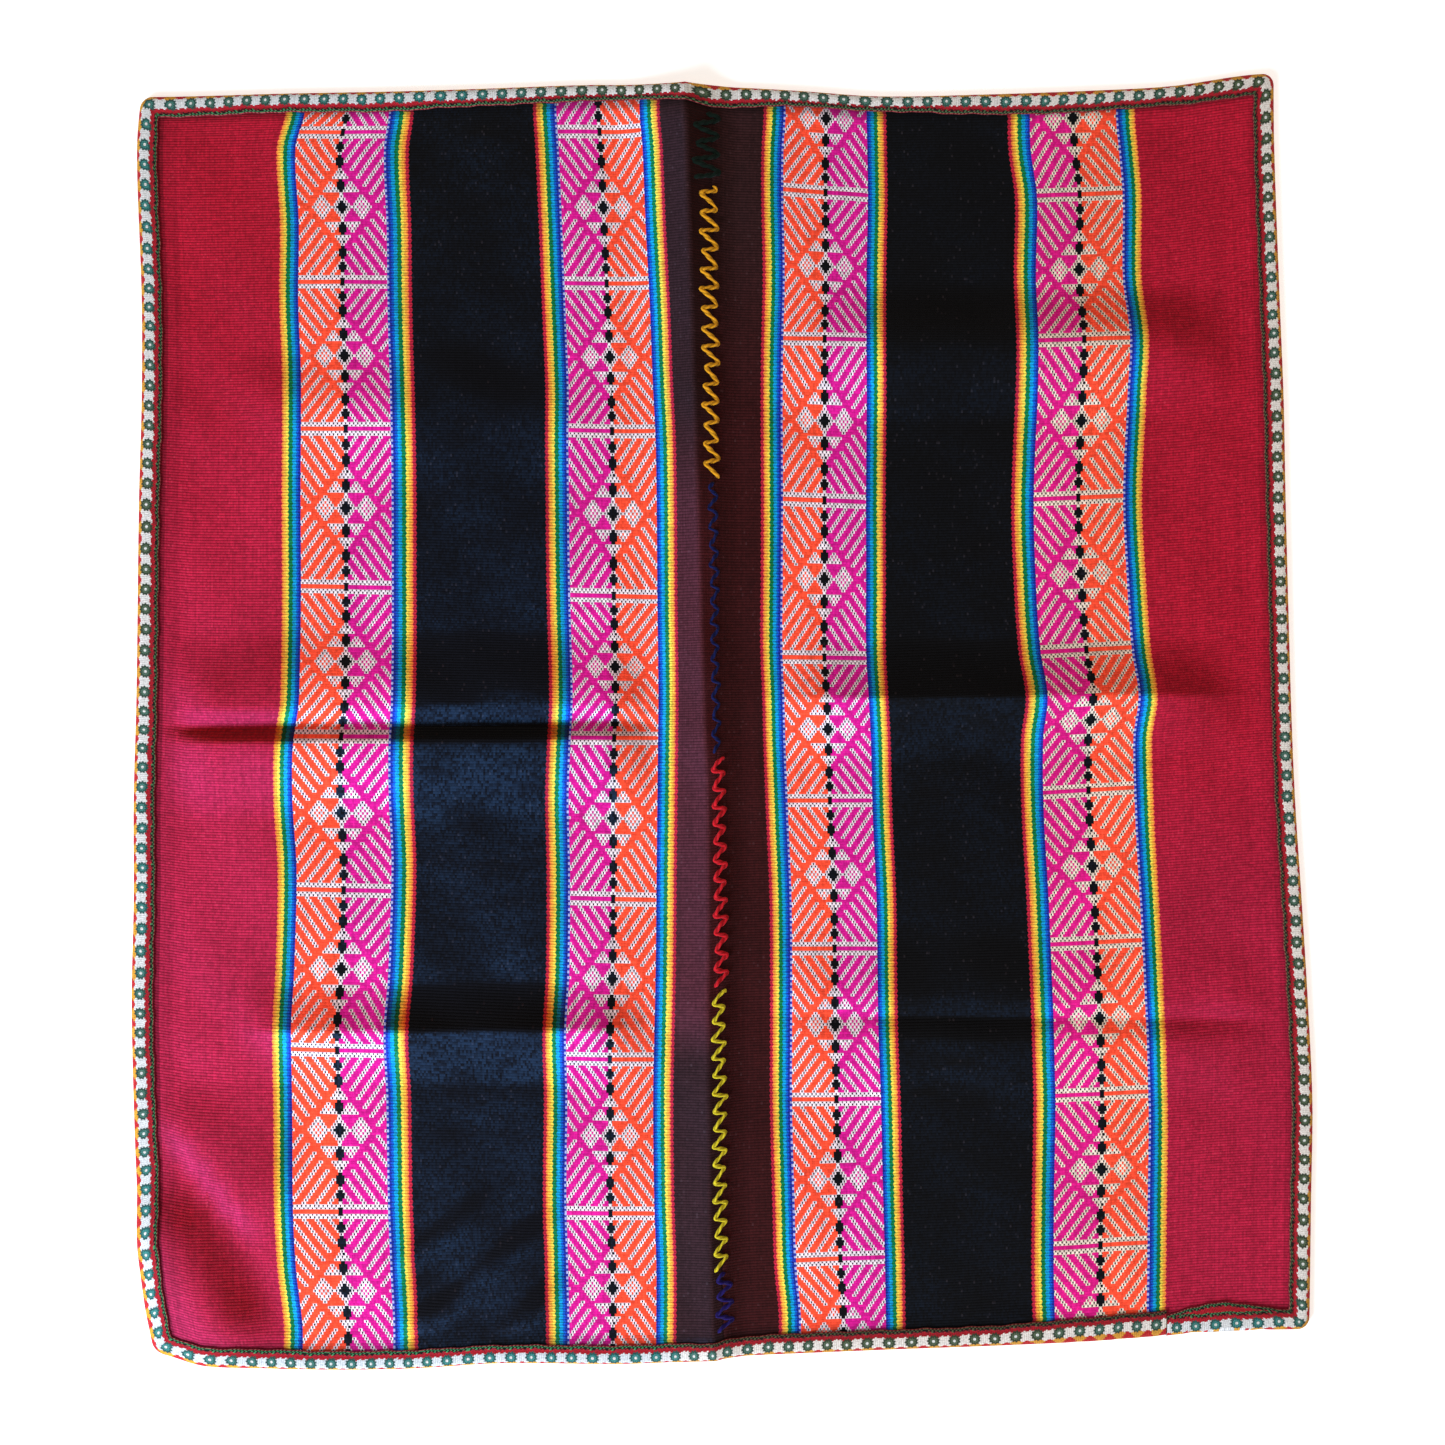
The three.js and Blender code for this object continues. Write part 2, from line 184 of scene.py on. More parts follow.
def fold_height(x, y):
    """The long ridge plus every crease: height times the fade of its ends times its slope."""
    crest = curve_through(y, LONG_Y, CREST_X)
    run = np.where(
        x < crest, curve_through(y, RIDGE_Y, RIDGE_LEFT), curve_through(y, RIDGE_Y, RIDGE_RIGHT)
    )
    total = curve_through(y, RIDGE_Y, RIDGE_HEIGHT) * slope(x - crest, run, "crisp")
    for x0, y0, x1, y1, height, right, right_shape, left, left_shape, fade0, fade1 in CREASES:
        length = np.hypot(x1 - x0, y1 - y0)
        way_x, way_y = (x1 - x0) / length, (y1 - y0) / length
        along = (x - x0) * way_x + (y - y0) * way_y
        to_left = way_x * (y - y0) - way_y * (x - x0)
        fade = smoothstep(along, 0.0, fade0) * (1.0 - smoothstep(along, length - fade1, length))
        side = np.where(
            to_left > 0.0, slope(to_left, left, left_shape), slope(to_left, right, right_shape)
        )
        total = total + height * fade * side
    return total


print("highest fold, mm:", round(float(fold_height(*on_floor(
    np.linspace(0, CLOTH_WIDTH, 200)[None, :], np.linspace(0, CLOTH_LENGTH, 200)[:, None]
)).max()), 1))

# %% [markdown]
# ## Hem and small waves
#
# The back of the edge band lies under the cloth, so the hem climbs a little on to it. Soft wool
# also never lies quite level between its folds. Slow waves multiplied by each other give ripples
# that nowhere repeat, and a few deeper ones give the wrinkles near the lower left.

# %% Hem, ripples and wrinkles
BAND_REACH = 17.0
HEM_LIFT = 1.8
HEM_FALL = 15.0


def from_edge(across, along):
    """Distance on the flat cloth to the nearest of its four edges."""
    from_side = np.minimum(across, CLOTH_WIDTH - across)
    return np.minimum(from_side, np.minimum(along, CLOTH_LENGTH - along))


def hem_lift(across, along):
    """The cloth climbs HEM_LIFT where the band's back lies under it."""
    inside = from_edge(across, along) - BAND_REACH
    return HEM_LIFT * (1.0 - smoothstep(inside, 0.0, HEM_FALL))


# Ripples all over and wrinkles in one place: half height, lengths over which the waves turn by one
# radian, and lengths over which their lines bend.
RIPPLE, RIPPLE_LENGTHS, RIPPLE_BENDS = 0.7, (15.0, 27.0), (39.0, 31.0)
WRINKLE, WRINKLE_LENGTH, WRINKLE_BEND = 2.2, 8.5, 40.0
# The wrinkles' middle, and how far from it they start to fade and are gone, in x and in y.
WRINKLES_AT = (-182.0, -430.0)
WRINKLES_FADE = ((30.0, 75.0), (20.0, 90.0))


def cloth_under(x, y, across, along):
    """Height of the cloth's underside: folds, the climb on to the band, and small waves.

    Slanting ripples are all over the cloth, and a few deeper wrinkles lie near its lower left.
    """
    lift = hem_lift(across, along)
    slant, cross = x + 0.5 * y, y - 0.6 * x
    waves = np.sin(slant / RIPPLE_LENGTHS[0] + 1.3 * np.sin(y / RIPPLE_BENDS[0]))
    waves = waves * np.sin(cross / RIPPLE_LENGTHS[1] + np.sin(x / RIPPLE_BENDS[1]))
    wrinkles = np.sin(cross / WRINKLE_LENGTH + 1.2 * np.sin(slant / WRINKLE_BEND))
    for value, middle, (full, gone) in zip((x, y), WRINKLES_AT, WRINKLES_FADE):
        wrinkles = wrinkles * smoothstep(np.abs(value - middle), gone, full)
    small = RIPPLE * (1.0 + waves) + WRINKLE * (wrinkles + np.abs(wrinkles))
    return fold_height(x, y) + lift + small * (1.0 - smoothstep(lift, 0.0, HEM_LIFT))


print("highest ripple and wrinkle, mm:", 2 * RIPPLE, 2 * WRINKLE)

# %% [markdown]
# ## The camera
#
# The picture was taken from straight above. A camera that is 1.17 m up sees high folds a little
# larger than the floor, so the stripes seem to bulge outwards on the crests. The readings of the
# stripes below were taken on the floor as that camera sees it, and one function moves them back
# to the cloth's own height.

# %% Set up the camera
CAMERA_HEIGHT = 1170.0
CAMERA_X, CAMERA_Y = -0.375, -3.0
VIEW_WIDTH = 1083.75
SENSOR = 36.0

camera = bpy.data.objects.new("camera", bpy.data.cameras.new("camera"))
camera.location = (CAMERA_X * MM, CAMERA_Y * MM, CAMERA_HEIGHT * MM)
camera.data.sensor_width = SENSOR
camera.data.lens = SENSOR * CAMERA_HEIGHT / VIEW_WIDTH
bpy.context.collection.objects.link(camera)
bpy.context.scene.camera = camera


def nearer(height):
    """How much a length shrinks from the floor's reading to the cloth at that height."""
    return (CAMERA_HEIGHT - height) / CAMERA_HEIGHT


print("lens, mm:", round(camera.data.lens, 2))

# %% [markdown]
# ## The plan of the weave
#
# The warp runs from the near edge to the far one, so every stripe is a family of warp yarns. The
# rainbow stripes are read as lines, and everything else lies between them. The weft picks run
# across, about 2.1 mm apart, and the patterned bands repeat every 56 picks. The picks are not
# quite level, so the rows are set by the plain lines that divide the repeats.

# %% Lines of the rainbow stripes
# Columns: y on the floor as seen, then the middle of each rainbow stripe of the left panel.
LEFT_STRIPES = np.array([
    (456.5, -319.6, -239.7, -134.0, -54.9),
    (426.5, -326.9, -243.7, -132.4, -52.7),
    (370.0, -324.6, -242.0, -129.8, -50.4),
    (314.0, -325.0, -241.3, -127.6, -47.5),
    (250.0, -322.9, -239.6, -125.0, -45.0),
    (201.5, -323.1, -238.5, -125.1, -42.7),
    (89.0, -323.2, -237.9, -123.8, -41.6),
    (14.0, -324.6, -238.5, -122.0, -40.8),
    (-20.0, -328.9, -240.4, -123.7, -41.2),
    (-61.0, -329.4, -240.1, -125.0, -41.6),
    (-113.5, -326.2, -238.1, -124.0, -42.2),
    (-190.0, -328.2, -240.5, -124.5, -42.9),
    (-236.0, -330.5, -244.0, -127.0, -43.9),
    (-286.0, -329.5, -242.0, -126.0, -44.8),
    (-361.0, -329.2, -240.9, -126.7, -44.0),
    (-410.0, -326.7, -238.8, -125.4, -42.4),
    (-466.0, -321.3, -236.6, -124.3, -42.5),
])[::-1]
# The same for the right panel.
RIGHT_STRIPES = np.array([
    (455.0, 38.0, 114.6, 221.2, 301.7),
    (425.0, 36.4, 115.3, 222.2, 304.1),
    (389.0, 36.2, 115.8, 226.9, 306.9),
    (330.0, 37.3, 114.7, 225.9, 307.2),
    (284.0, 36.2, 114.7, 227.9, 312.6),
    (239.0, 35.7, 114.9, 227.1, 310.4),
    (164.0, 36.0, 114.3, 224.2, 307.3),
    (110.0, 35.8, 114.5, 225.6, 309.8),
    (51.5, 35.5, 114.4, 229.3, 314.1),
    (16.0, 36.9, 116.4, 234.9, 318.9),
    (-16.0, 37.7, 118.0, 231.3, 315.0),
    (-75.0, 39.9, 119.5, 232.0, 316.6),
    (-136.0, 42.4, 122.2, 235.5, 319.9),
    (-226.0, 42.8, 123.4, 239.2, 324.4),
    (-290.0, 42.7, 125.6, 240.6, 326.5),
    (-361.0, 44.5, 127.2, 239.6, 325.9),
    (-410.0, 45.9, 128.6, 239.2, 325.4),
    (-451.0, 49.4, 129.2, 240.0, 324.7),
])[::-1]
STRIPE_WIDTHS = (14.0, 17.0, 16.0, 15.0, 15.0, 14.6, 16.5, 12.6)

# The plain line that starts each repeat: y on the floor as seen, in both bands of a panel.
PICKS = 462
REPEAT = 56
LEFT_DIVIDERS = np.array([
    (-370.0, -372.5), (-248.5, -257.5), (-128.5, -137.5), (-14.0, -16.0),
    (98.5, 89.5), (216.5, 214.0), (326.5, 324.5), (438.5, 438.5),
])
RIGHT_DIVIDERS = np.array([
    (-405.5, -395.5), (-285.5, -282.5), (-173.0, -169.0), (-62.5, -54.5),
    (44.5, 50.5), (162.5, 164.0), (284.0, 282.5), (393.5, 391.0),
])
LEFT_FIRST_PICK = 54
RIGHT_FIRST_PICK = 33
print("readings along the stripes:", len(LEFT_STRIPES), "left,", len(RIGHT_STRIPES), "right")

# %% Yarns on the loom


def dyed(hex_code, alpha=1.0):
    """An sRGB hex colour as linear red, green, blue and alpha."""
    channels = np.array([int(hex_code[i:i + 2], 16) for i in (1, 3, 5)]) / 255.0
    low, high = channels / 12.92, ((channels + 0.055) / 1.055) ** 2.4
    return (*np.where(channels <= 0.04045, low, high), alpha)


# Three of these are not dyes of their own but painted light: the left panel's crimson, the right
# panel's near crimson and the left panel's black are paler, cooler copies of crimson and black,
# where the key light falls strongest.
YARNS = {
    "carmine": "#b42247",
    "crimson": "#b01830",
    "crimson_painted_lit_near": "#ae1d3c",
    "ink": "#080b14",
    "black": "#070709",
    "brown": "#4f232c",
    "dusk": "#301b1f",
    "umber": "#350f10",
    "soot": "#2e1718",
    "orange": "#f44c30",
    "magenta": "#cd1788",
    "rose": "#d2187c",
    "white": "#ecdfe4",
    "ivory": "#ecdac6",
    "yellow": "#efd44a",
    "gold": "#f6ae3f",
    "amber": "#f4853c",
    "green": "#0c7a45",
    "sky": "#0d98cf",
    "blue": "#0c58c0",
    "navy": "#1c2f9a",
    "red": "#b8213a",
    "pearl": "#a2a8d4",
    "indigo": "#26309c",
    "shadow": "#2a2230",
}
YARN_NUMBER = {name: number for number, name in enumerate(YARNS)}
YARN_COLOURS = np.array([dyed(code) for code in YARNS.values()])
# Some stripes change tone in part of their length. In their near part, nearer the key light, the
# crimson and the black are painted paler and cooler, as painted light, and the brown and umber
# strips turn into duller yarns near their ends. Columns: yarn, the yarn that it turns into, and
# the picks between which it turns into it.
TONE_SHIFTS = (
    ("carmine", "crimson", 130.0, 430.0),
    ("crimson", "crimson_painted_lit_near", 250.0, 130.0),
    ("ink", "black", 260.0, 450.0),
    ("umber", "soot", 330.0, 420.0),
    ("brown", "dusk", 290.0, 350.0),
    ("brown", "dusk", 128.0, 106.0),
)
print("yarns on the loom:", len(YARNS))

# %% [markdown]
# ## The pattern chart
#
# The patterned bands are pebble weave: a coloured warp and a white one trade places, and where
# white lies on top a dark dot of the other layer shows between the floats. A chart says for each
# cell which yarn is on top. It is drawn with rules, as a weaver counts it: diagonals six cells
# apart run in to a diamond, the diamond holds triangles and rhombi, and black lozenges run down
# the middle.

# %% Chart of one patterned band
HALF_CELLS = 22


def chart(left_yarn, right_yarn, pale_yarn, beaded_side, first_pick):
    """Yarn on top, yarn of the dots, and their size (0 for none), for each pick and cell.

    a is the distance of a cell from the band's middle line and b the distance of a pick from the
    middle of its repeat, both counted in cells, and every figure is a bound on a, b or their sum.
    """
    cells = np.arange(-HALF_CELLS, HALF_CELLS) + 0.5
    picks = np.arange(PICKS)[:, None]
    a = np.abs(cells)[None, :] + 0.0 * picks
    b = np.abs(REPEAT / 2 - (picks - first_pick) % REPEAT) + 0.0 * cells[None, :]
    solid = np.where(cells < 0, YARN_NUMBER[left_yarn], YARN_NUMBER[right_yarn]) + 0 * picks
    diagonals = ((a - b + 20.5) % 6 < 1.5) & (a + b >= 19.5) & (b <= 25)
    pebble_rows = (b == 26) | (b == 27) | ((b == 25) & (a < 1))
    triangle = (a + b < 15) & (b >= 11)
    side_triangle = (np.abs(a - 5) + b < 10) & (b >= 6)
    rhombus = np.abs(a - 10) + b < 5
    diamond = (a + b < 5) | ((b == 5) & (a < 1))
    white = diagonals | pebble_rows | triangle | side_triangle | rhombus | diamond
    lozenge = np.isin(b, (7, 8, 9, 16, 17, 18, 22, 23)) & (a < 2)
    lozenge |= np.isin(b, (6, 10, 15, 19, 21, 24, 27, 28)) & (a < 1)
    lozenge |= (a + b < 3) | ((b == 13) & (cells == 0.5))
    top = np.where(lozenge, YARN_NUMBER["black"], np.where(white, YARN_NUMBER[pale_yarn], solid))
    coloured = (np.abs(a - 10) + b < 3.2) | ((np.abs(a - 5) < 1) & ((b == 7) | (b == 8)))
    dots = np.where(coloured, solid, YARN_NUMBER["shadow"])
    dotted = np.where(coloured, 3.0, 1.0) * (white & ~lozenge)
    bead = np.where(picks % 2 == 0, YARN_NUMBER["pearl"], YARN_NUMBER["indigo"])
    column = 0 if beaded_side == "left" else top.shape[1]
    top = np.insert(top, column, bead[:, 0], axis=1)
    dots = np.insert(dots, column, YARN_NUMBER["shadow"], axis=1)
    dotted = np.insert(dotted, column, 0.0, axis=1)
    return top, dots, dotted


one_repeat = chart("orange", "magenta", "white", "right", 0)[0][:REPEAT]
pale_cells = int((one_repeat == YARN_NUMBER["white"]).sum())
print("pale cells in one repeat:", pale_cells, "of", one_repeat.size)

# %% Order of the stripes
PANEL_INSET = 2.8
RAINBOW_IN = ("navy", "blue", "sky", "green", "yellow", "gold", "amber", "red")
RAINBOW_OUT = RAINBOW_IN[::-1]
RAINBOW_SHARE = {
    "navy": 2.1, "blue": 2.1, "sky": 3.3, "green": 3.8,
    "yellow": 2.4, "gold": 2.2, "amber": 1.4, "red": 2.9,
}
# Each panel from left to right: a line, and what is woven between it and the next one. A line is
# either a distance across the flat cloth or the left or right edge of a rainbow stripe.
LEFT_PLAN = (
    (PANEL_INSET, ("plain", "carmine", 3)),
    (20.0, ("plain", "carmine", 2)),
    (40.0, ("plain", "carmine", 3)),
    (75.0, ("plain", "carmine", 4)),
    ((0, -1), ("rainbow", RAINBOW_OUT[1:])),
    ((0, 1), ("band", "orange", "magenta", "white", "right")),
    ((1, -1), ("rainbow", RAINBOW_IN)),
    ((1, 1), ("plain", "ink", 12)),
    ((2, -1), ("rainbow", RAINBOW_OUT)),
    ((2, 1), ("band", "magenta", "orange", "white", "left")),
    ((3, -1), ("rainbow", RAINBOW_IN)),
    ((3, 1), ("plain", "brown", 10)),
    (CREST_AT, ("plain", "brown", 6)),
    (SEAM_AT, None),
)
RIGHT_PLAN = (
    (SEAM_AT, ("plain", "umber", 12)),
    ((0, -1), ("rainbow", RAINBOW_OUT)),
    ((0, 1), ("band", "orange", "magenta", "white", "left")),
    ((1, -1), ("rainbow", RAINBOW_IN)),
    ((1, 1), ("plain", "black", 12)),
    ((2, -1), ("rainbow", RAINBOW_OUT)),
    ((2, 1), ("band", "rose", "orange", "ivory", "right")),
    ((3, -1), ("rainbow", RAINBOW_IN[:-1])),
    ((3, 1), ("plain", "crimson", 4)),
    (CLOTH_WIDTH - 75.0, ("plain", "crimson", 3)),
    (CLOTH_WIDTH - 40.0, ("plain", "crimson", 2)),
    (CLOTH_WIDTH - 20.0, ("plain", "crimson", 3)),
    (CLOTH_WIDTH - PANEL_INSET, None),
)
print("stripes of the left and the right panel:", len(LEFT_PLAN) - 1, len(RIGHT_PLAN) - 1)

# %% [markdown]
# ## From the plan to a sheet
#
# A grid follows the weave: its lines are warp lines and picks, so a stripe's edge is always an
# edge of the mesh. The x of a stripe's line comes from the readings and the y of a pick from the
# dividing lines. Both are found at the cloth's own height in a few rounds, because the height
# depends on the place and the place on the height.

# %% Lines of the grid
ROUNDS = 4
CANDIDATES = 2000


def across_at(x):
    """Distance across the flat cloth of what lies nearest to x on the floor, half way along."""
    candidates = np.linspace(0, CLOTH_WIDTH, CANDIDATES)
    return candidates[np.argmin(np.abs(x_on_floor(candidates, np.zeros(CANDIDATES)) - x))]


def warp_ends(across):
    """y of the two ends of a panel's warp, just inside the near and the far edge."""
    near, far = ends_at(np.array(across))
    return near + PANEL_INSET, far - PANEL_INSET


def rows_of(across_of_bands, dividers, first_pick):
    """y of every pick in the two bands, as the difference from evenly spaced picks."""
    picks = np.arange(PICKS + 1)
    knots = np.concatenate(([0], first_pick + REPEAT * np.arange(len(dividers)), [PICKS]))
    shifts = []
    for across, seen_y in zip(across_of_bands, dividers.T):
        y = seen_y
        for _ in range(ROUNDS):
            height = fold_height(x_on_floor(np.array(across), y), y)
            y = CAMERA_Y + (seen_y - CAMERA_Y) * nearer(height)
        near, far = warp_ends(across)
        path = np.interp(picks, knots, np.concatenate(([near], y, [far])))
        shifts.append(path - (near + (far - near) * picks / PICKS))
    return np.array(shifts)


def place_lines(plan, stripes, widths, dividers, first_pick):
    """x and y of each line of the plan at each pick, and its distance across the flat cloth."""
    seen_y, middles = stripes[:, 0], stripes[:, 1:]
    bands = [across_at(middles[:, i:i + 2].mean()) for i in (0, 2)]
    shifts = rows_of(bands, dividers, first_pick)
    picks = np.arange(PICKS + 1)
    x_lines, y_lines, acrosses = [], [], []
    for line, _ in plan:
        on_stripe = isinstance(line, tuple)
        if on_stripe:
            stripe, side = line
            reading = middles[:, stripe] + side * widths[stripe] / 2
        across = across_at(reading.mean()) if on_stripe else line
        share = np.clip((across - bands[0]) / (bands[1] - bands[0]), 0.0, 1.0)
        near, far = warp_ends(across)
        y = near + (far - near) * picks / PICKS + shifts[0] * (1 - share) + shifts[1] * share
        x = x_on_floor(np.array(across), y)
        for _ in range(ROUNDS if on_stripe else 0):
            shrink = nearer(fold_height(x, y))
            as_seen = CAMERA_Y + (y - CAMERA_Y) / shrink
            x = CAMERA_X + (curve_through(as_seen, seen_y, reading) - CAMERA_X) * shrink
        x_lines.append(x)
        y_lines.append(y)
        acrosses.append(across)
    return np.array(x_lines), np.array(y_lines), np.array(acrosses)


# %% Columns of the grid and the yarn of every face
# Depth of the ribs on a patterned band's plain and dotted cells, where a plain stripe has 1.
PLAIN_CELL_RIB, DOTTED_CELL_RIB = 0.3, 0.5
# The back has one line for so many columns of the face.
BACK_COLUMNS = {"band": 5, "rainbow": 1, "plain": 2}


def weave_columns(plan, first_pick):
    """For each column of faces: its place in the plan, its chart, its cell, and if the back has it.

    A place such as 3.25 is a quarter of the way from line 3 to line 4.
    """
    positions, top, dots, dotted, rib, lattice, keep = [], [], [], [], [], [], []
    for number, (_, weave) in enumerate(plan):
        if weave is None:
            continue
        if weave[0] == "band":
            yarns, specks, pebbles = chart(*weave[1:], first_pick)
            count = yarns.shape[1]
            offset = -HALF_CELLS - (1 if weave[-1] == "left" else 0)
            cells = np.arange(count) + offset + first_pick
            shares = np.ones(count)
            ribs = np.where(pebbles > 0.0, DOTTED_CELL_RIB, PLAIN_CELL_RIB)
        else:
            names = weave[1] if weave[0] == "rainbow" else (weave[1],) * weave[2]
            count = len(names)
            yarns = np.array([YARN_NUMBER[name] for name in names]) + np.zeros((PICKS, 1), int)
            specks, pebbles = yarns, np.zeros(yarns.shape)
            cells = np.zeros(count)
            shares = np.array([RAINBOW_SHARE.get(name, 1.0) for name in names])
            ribs = np.ones(yarns.shape)
        positions.append(number + (np.cumsum(shares) - shares) / shares.sum())
        top.append(yarns)
        dots.append(specks)
        dotted.append(pebbles)
        rib.append(ribs)
        lattice.append(cells)
        keep.append(np.arange(count) % BACK_COLUMNS[weave[0]] == 0)
    charted = [np.concatenate(part, axis=-1) for part in (top, dots, dotted, rib)]
    positions = np.append(np.concatenate(positions), len(plan) - 1.0)
    return positions, charted, np.concatenate(lattice), np.append(np.concatenate(keep), True)


def between(lines, positions):
    """Straight interpolation between neighbouring lines, for all picks at once."""
    i = np.minimum(positions.astype(int), len(lines) - 2)
    t = (positions - i).reshape(-1, *([1] * (lines.ndim - 1)))
    return lines[i] * (1 - t) + lines[i + 1] * t


# %% Points of a panel's face
BAND_CORNER = 9.0
SERRATION = 0.5
DIVIDER_SWELL = 0.3


def panel_grid(lines, positions, top, lattice, first_pick):
    """x, y, and the distances across and along the flat cloth, of each warp line at each pick."""
    x_lines, y_lines, acrosses = lines
    x, y = between(x_lines, positions).T, between(y_lines, positions).T
    across = between(acrosses, positions)[None, :] + 0.0 * x
    near, far = ends_at(across)
    along = (y - near) / (far - near) * CLOTH_LENGTH

    # Corners follow the round inside of the band.
    centre_u = np.clip(across, BAND_CORNER, CLOTH_WIDTH - BAND_CORNER)
    centre_v = np.clip(along, BAND_CORNER, CLOTH_LENGTH - BAND_CORNER)
    reach = np.hypot(across - centre_u, along - centre_v)
    pull = np.minimum(1.0, (BAND_CORNER - PANEL_INSET) / np.maximum(reach, 1e-6))
    x = x - (across - centre_u) * (1 - pull)
    y = y - (along - centre_v) * (1 - pull)

    # Neighbouring stripes bite into each other from pick to pick.
    edge_of_stripe = np.zeros(x.shape[1])
    edge_of_stripe[1:-1] = np.any(top[:, 1:] != top[:, :-1], axis=0) & (np.diff(lattice) == 0)
    picks = np.arange(PICKS + 1)[:, None]
    x = x + SERRATION * edge_of_stripe * np.where(picks % 2 == 0, 1.0, -1.0)

    # The plain lines between repeats are taller than a pick.
    in_band = np.append(lattice != 0, False)
    at_divider = (picks - first_pick) % REPEAT
    swell = np.where(at_divider == 1, 1.0, 0.0) - np.where(at_divider == 0, 1.0, 0.0)
    y = y + DIVIDER_SWELL * CLOTH_LENGTH / PICKS * swell * in_band
    return x, y, across, along


# %% [markdown]
# ## Closing the sheet
#
# A cloth has a back and edges. The face is the fine grid. The back is a coarser one, because only
# its stripes show, and a rim of many-sided faces closes the gap between the two. The map for
# baking gives most of its room to the face.

# %% Faces of a grid and of a rim
# Steps along and across a grid to the corners of a face, for the two ways that it can face.
FACING_UP = ((0, 0), (0, 1), (1, 1), (1, 0))
FACING_DOWN = ((0, 0), (1, 0), (1, 1), (0, 1))
BACK_PICKS = 2


def at_corners(grid, corners):
    """The values of a grid at the four corners of each of its faces."""
    rows, columns = grid.shape[0] - 1, grid.shape[1] - 1
    return np.stack([grid[i:rows + i, j:columns + j] for i, j in corners], axis=-1)


def rim(fine, coarse_of):
    """Faces between a fine edge and the coarse edge under it: the run of fine points, then back."""
    stops = np.flatnonzero(coarse_of >= 0)
    return [
        [*fine[a:b + 1][::-1], coarse_of[a], coarse_of[b]] for a, b in zip(stops[:-1], stops[1:])
    ]


def sheet_faces(number, back_number, kept):
    """Faces of the face, faces of the back, and the faces of the four rims between them."""
    below = np.full(number.shape, -1)
    below[kept] = back_number
    rims = (
        rim(number[0], below[0]),
        rim(number[:, -1], below[:, -1]),
        rim(number[-1, ::-1], below[-1, ::-1]),
        rim(number[::-1, 0], below[::-1, 0]),
    )
    face, back = (at_corners(grid, FACING_UP).reshape(-1, 4) for grid in (number, back_number))
    return face, back[:, ::-1], rims


# %% [markdown]
# ## Dye, painted shade and painted light
#
# Some stripes change tone along their length, painted shade darkens the cloth beside the band,
# and painted light makes a slope that faces the key light paler, and one that faces away deeper,
# than a level stretch. A colour for each face and a number for each point hold all this, so it
# stays on the cloth from every side.

# %% Dye of every face
# Painted shade beside the band: its darkest tone, and the distances from the edge between which it
# goes.
BAND_SHADE_TONE = 0.5
BAND_SHADE_RUN = (14.5, 23.0)


def dye_faces(charted, lattice, back_rows, back_columns, inside):
    """Colours of the faces and of their dots: the chart, then stripes for the back and the rims.

    The fourth number of a face's colour is the size of its dots, and of the dots' colour it is the
    depth of the face's rib.
    """
    top, dots, dotted, rib = charted
    behind = np.repeat(top[:1, back_columns], len(back_rows), axis=0)
    behind = np.where(lattice[back_columns] != 0, YARN_NUMBER["white"], behind)
    warps = top[0, back_columns]
    right_side, left_side = (np.full(len(back_rows), top[0, i]) for i in (-1, 0))
    edges = np.concatenate((warps, right_side, warps[::-1], left_side))
    yarn = np.concatenate((top.ravel(), behind.ravel(), edges))
    speck = np.concatenate((dots.ravel(), behind.ravel(), edges))
    colours, speck_colours = YARN_COLOURS[yarn], YARN_COLOURS[speck]
    pick_of_face = np.concatenate((
        np.repeat(np.arange(PICKS), top.shape[1]),
        np.repeat(back_rows, len(back_columns)),
        np.zeros(len(edges)),
    ))
    # Tone shifts along the stripes, in part painted light nearer the key light.
    for from_yarn, to_yarn, start, end in TONE_SHIFTS:
        share = smoothstep(pick_of_face, start, end) * (yarn == YARN_NUMBER[from_yarn])
        to_colour = YARN_COLOURS[YARN_NUMBER[to_yarn]]
        colours = colours + (to_colour - colours) * share[:, None]

    # Painted shade darkens the cloth beside the band, where the band shades it.
    unshaded = BAND_SHADE_TONE + (1.0 - BAND_SHADE_TONE) * smoothstep(inside[:-1, :-1].ravel(), *BAND_SHADE_RUN)
    colours[:unshaded.size] *= unshaded[:, None]
    plain = np.zeros(behind.size + edges.size)
    colours[:, 3] = np.concatenate((dotted.ravel(), plain))
    speck_colours[:, 3] = np.concatenate((rib.ravel(), plain + 1.0))
    return colours, speck_colours


# %% Painted light by slope, and maps of a panel
# Painted light by slope: the way that points away from the key light, the tilt that gives full
# painted light or shade, and the step over which the slope is measured.
AWAY_FROM_LIGHT, FULL_LIGHT_TILT, SLOPE_STEP = (0.6, 0.8), 0.4, 3.0
# Corner and size of the room on the bake map, for the face and for the back. The four rims come
# after them: the first one's place, the step to the next, and the width.
BAKE_FACE = (0.005, 0.005), (0.815, 0.99)
BAKE_BACK = (0.83, 0.005), (0.11, 0.99)
BAKE_RIM, BAKE_RIM_STEP, BAKE_RIM_WIDTH = 0.95, 0.0125, 0.006


def painted_light_of(x, y, across, along):
    """Painted light and shade: half for a level stretch, more by the tilt where the cloth rises
    away from the lower left, where the key light is.
    """
    rise_x, rise_y = (
        cloth_under(x + dx, y + dy, across, along) - cloth_under(x - dx, y - dy, across, along)
        for dx, dy in ((SLOPE_STEP, 0.0), (0.0, SLOPE_STEP))
    )
    tilt = (AWAY_FROM_LIGHT[0] * rise_x + AWAY_FROM_LIGHT[1] * rise_y) / (2.0 * SLOPE_STEP)
    return np.clip(0.5 + tilt / (2.0 * FULL_LIGHT_TILT), 0.0, 1.0)


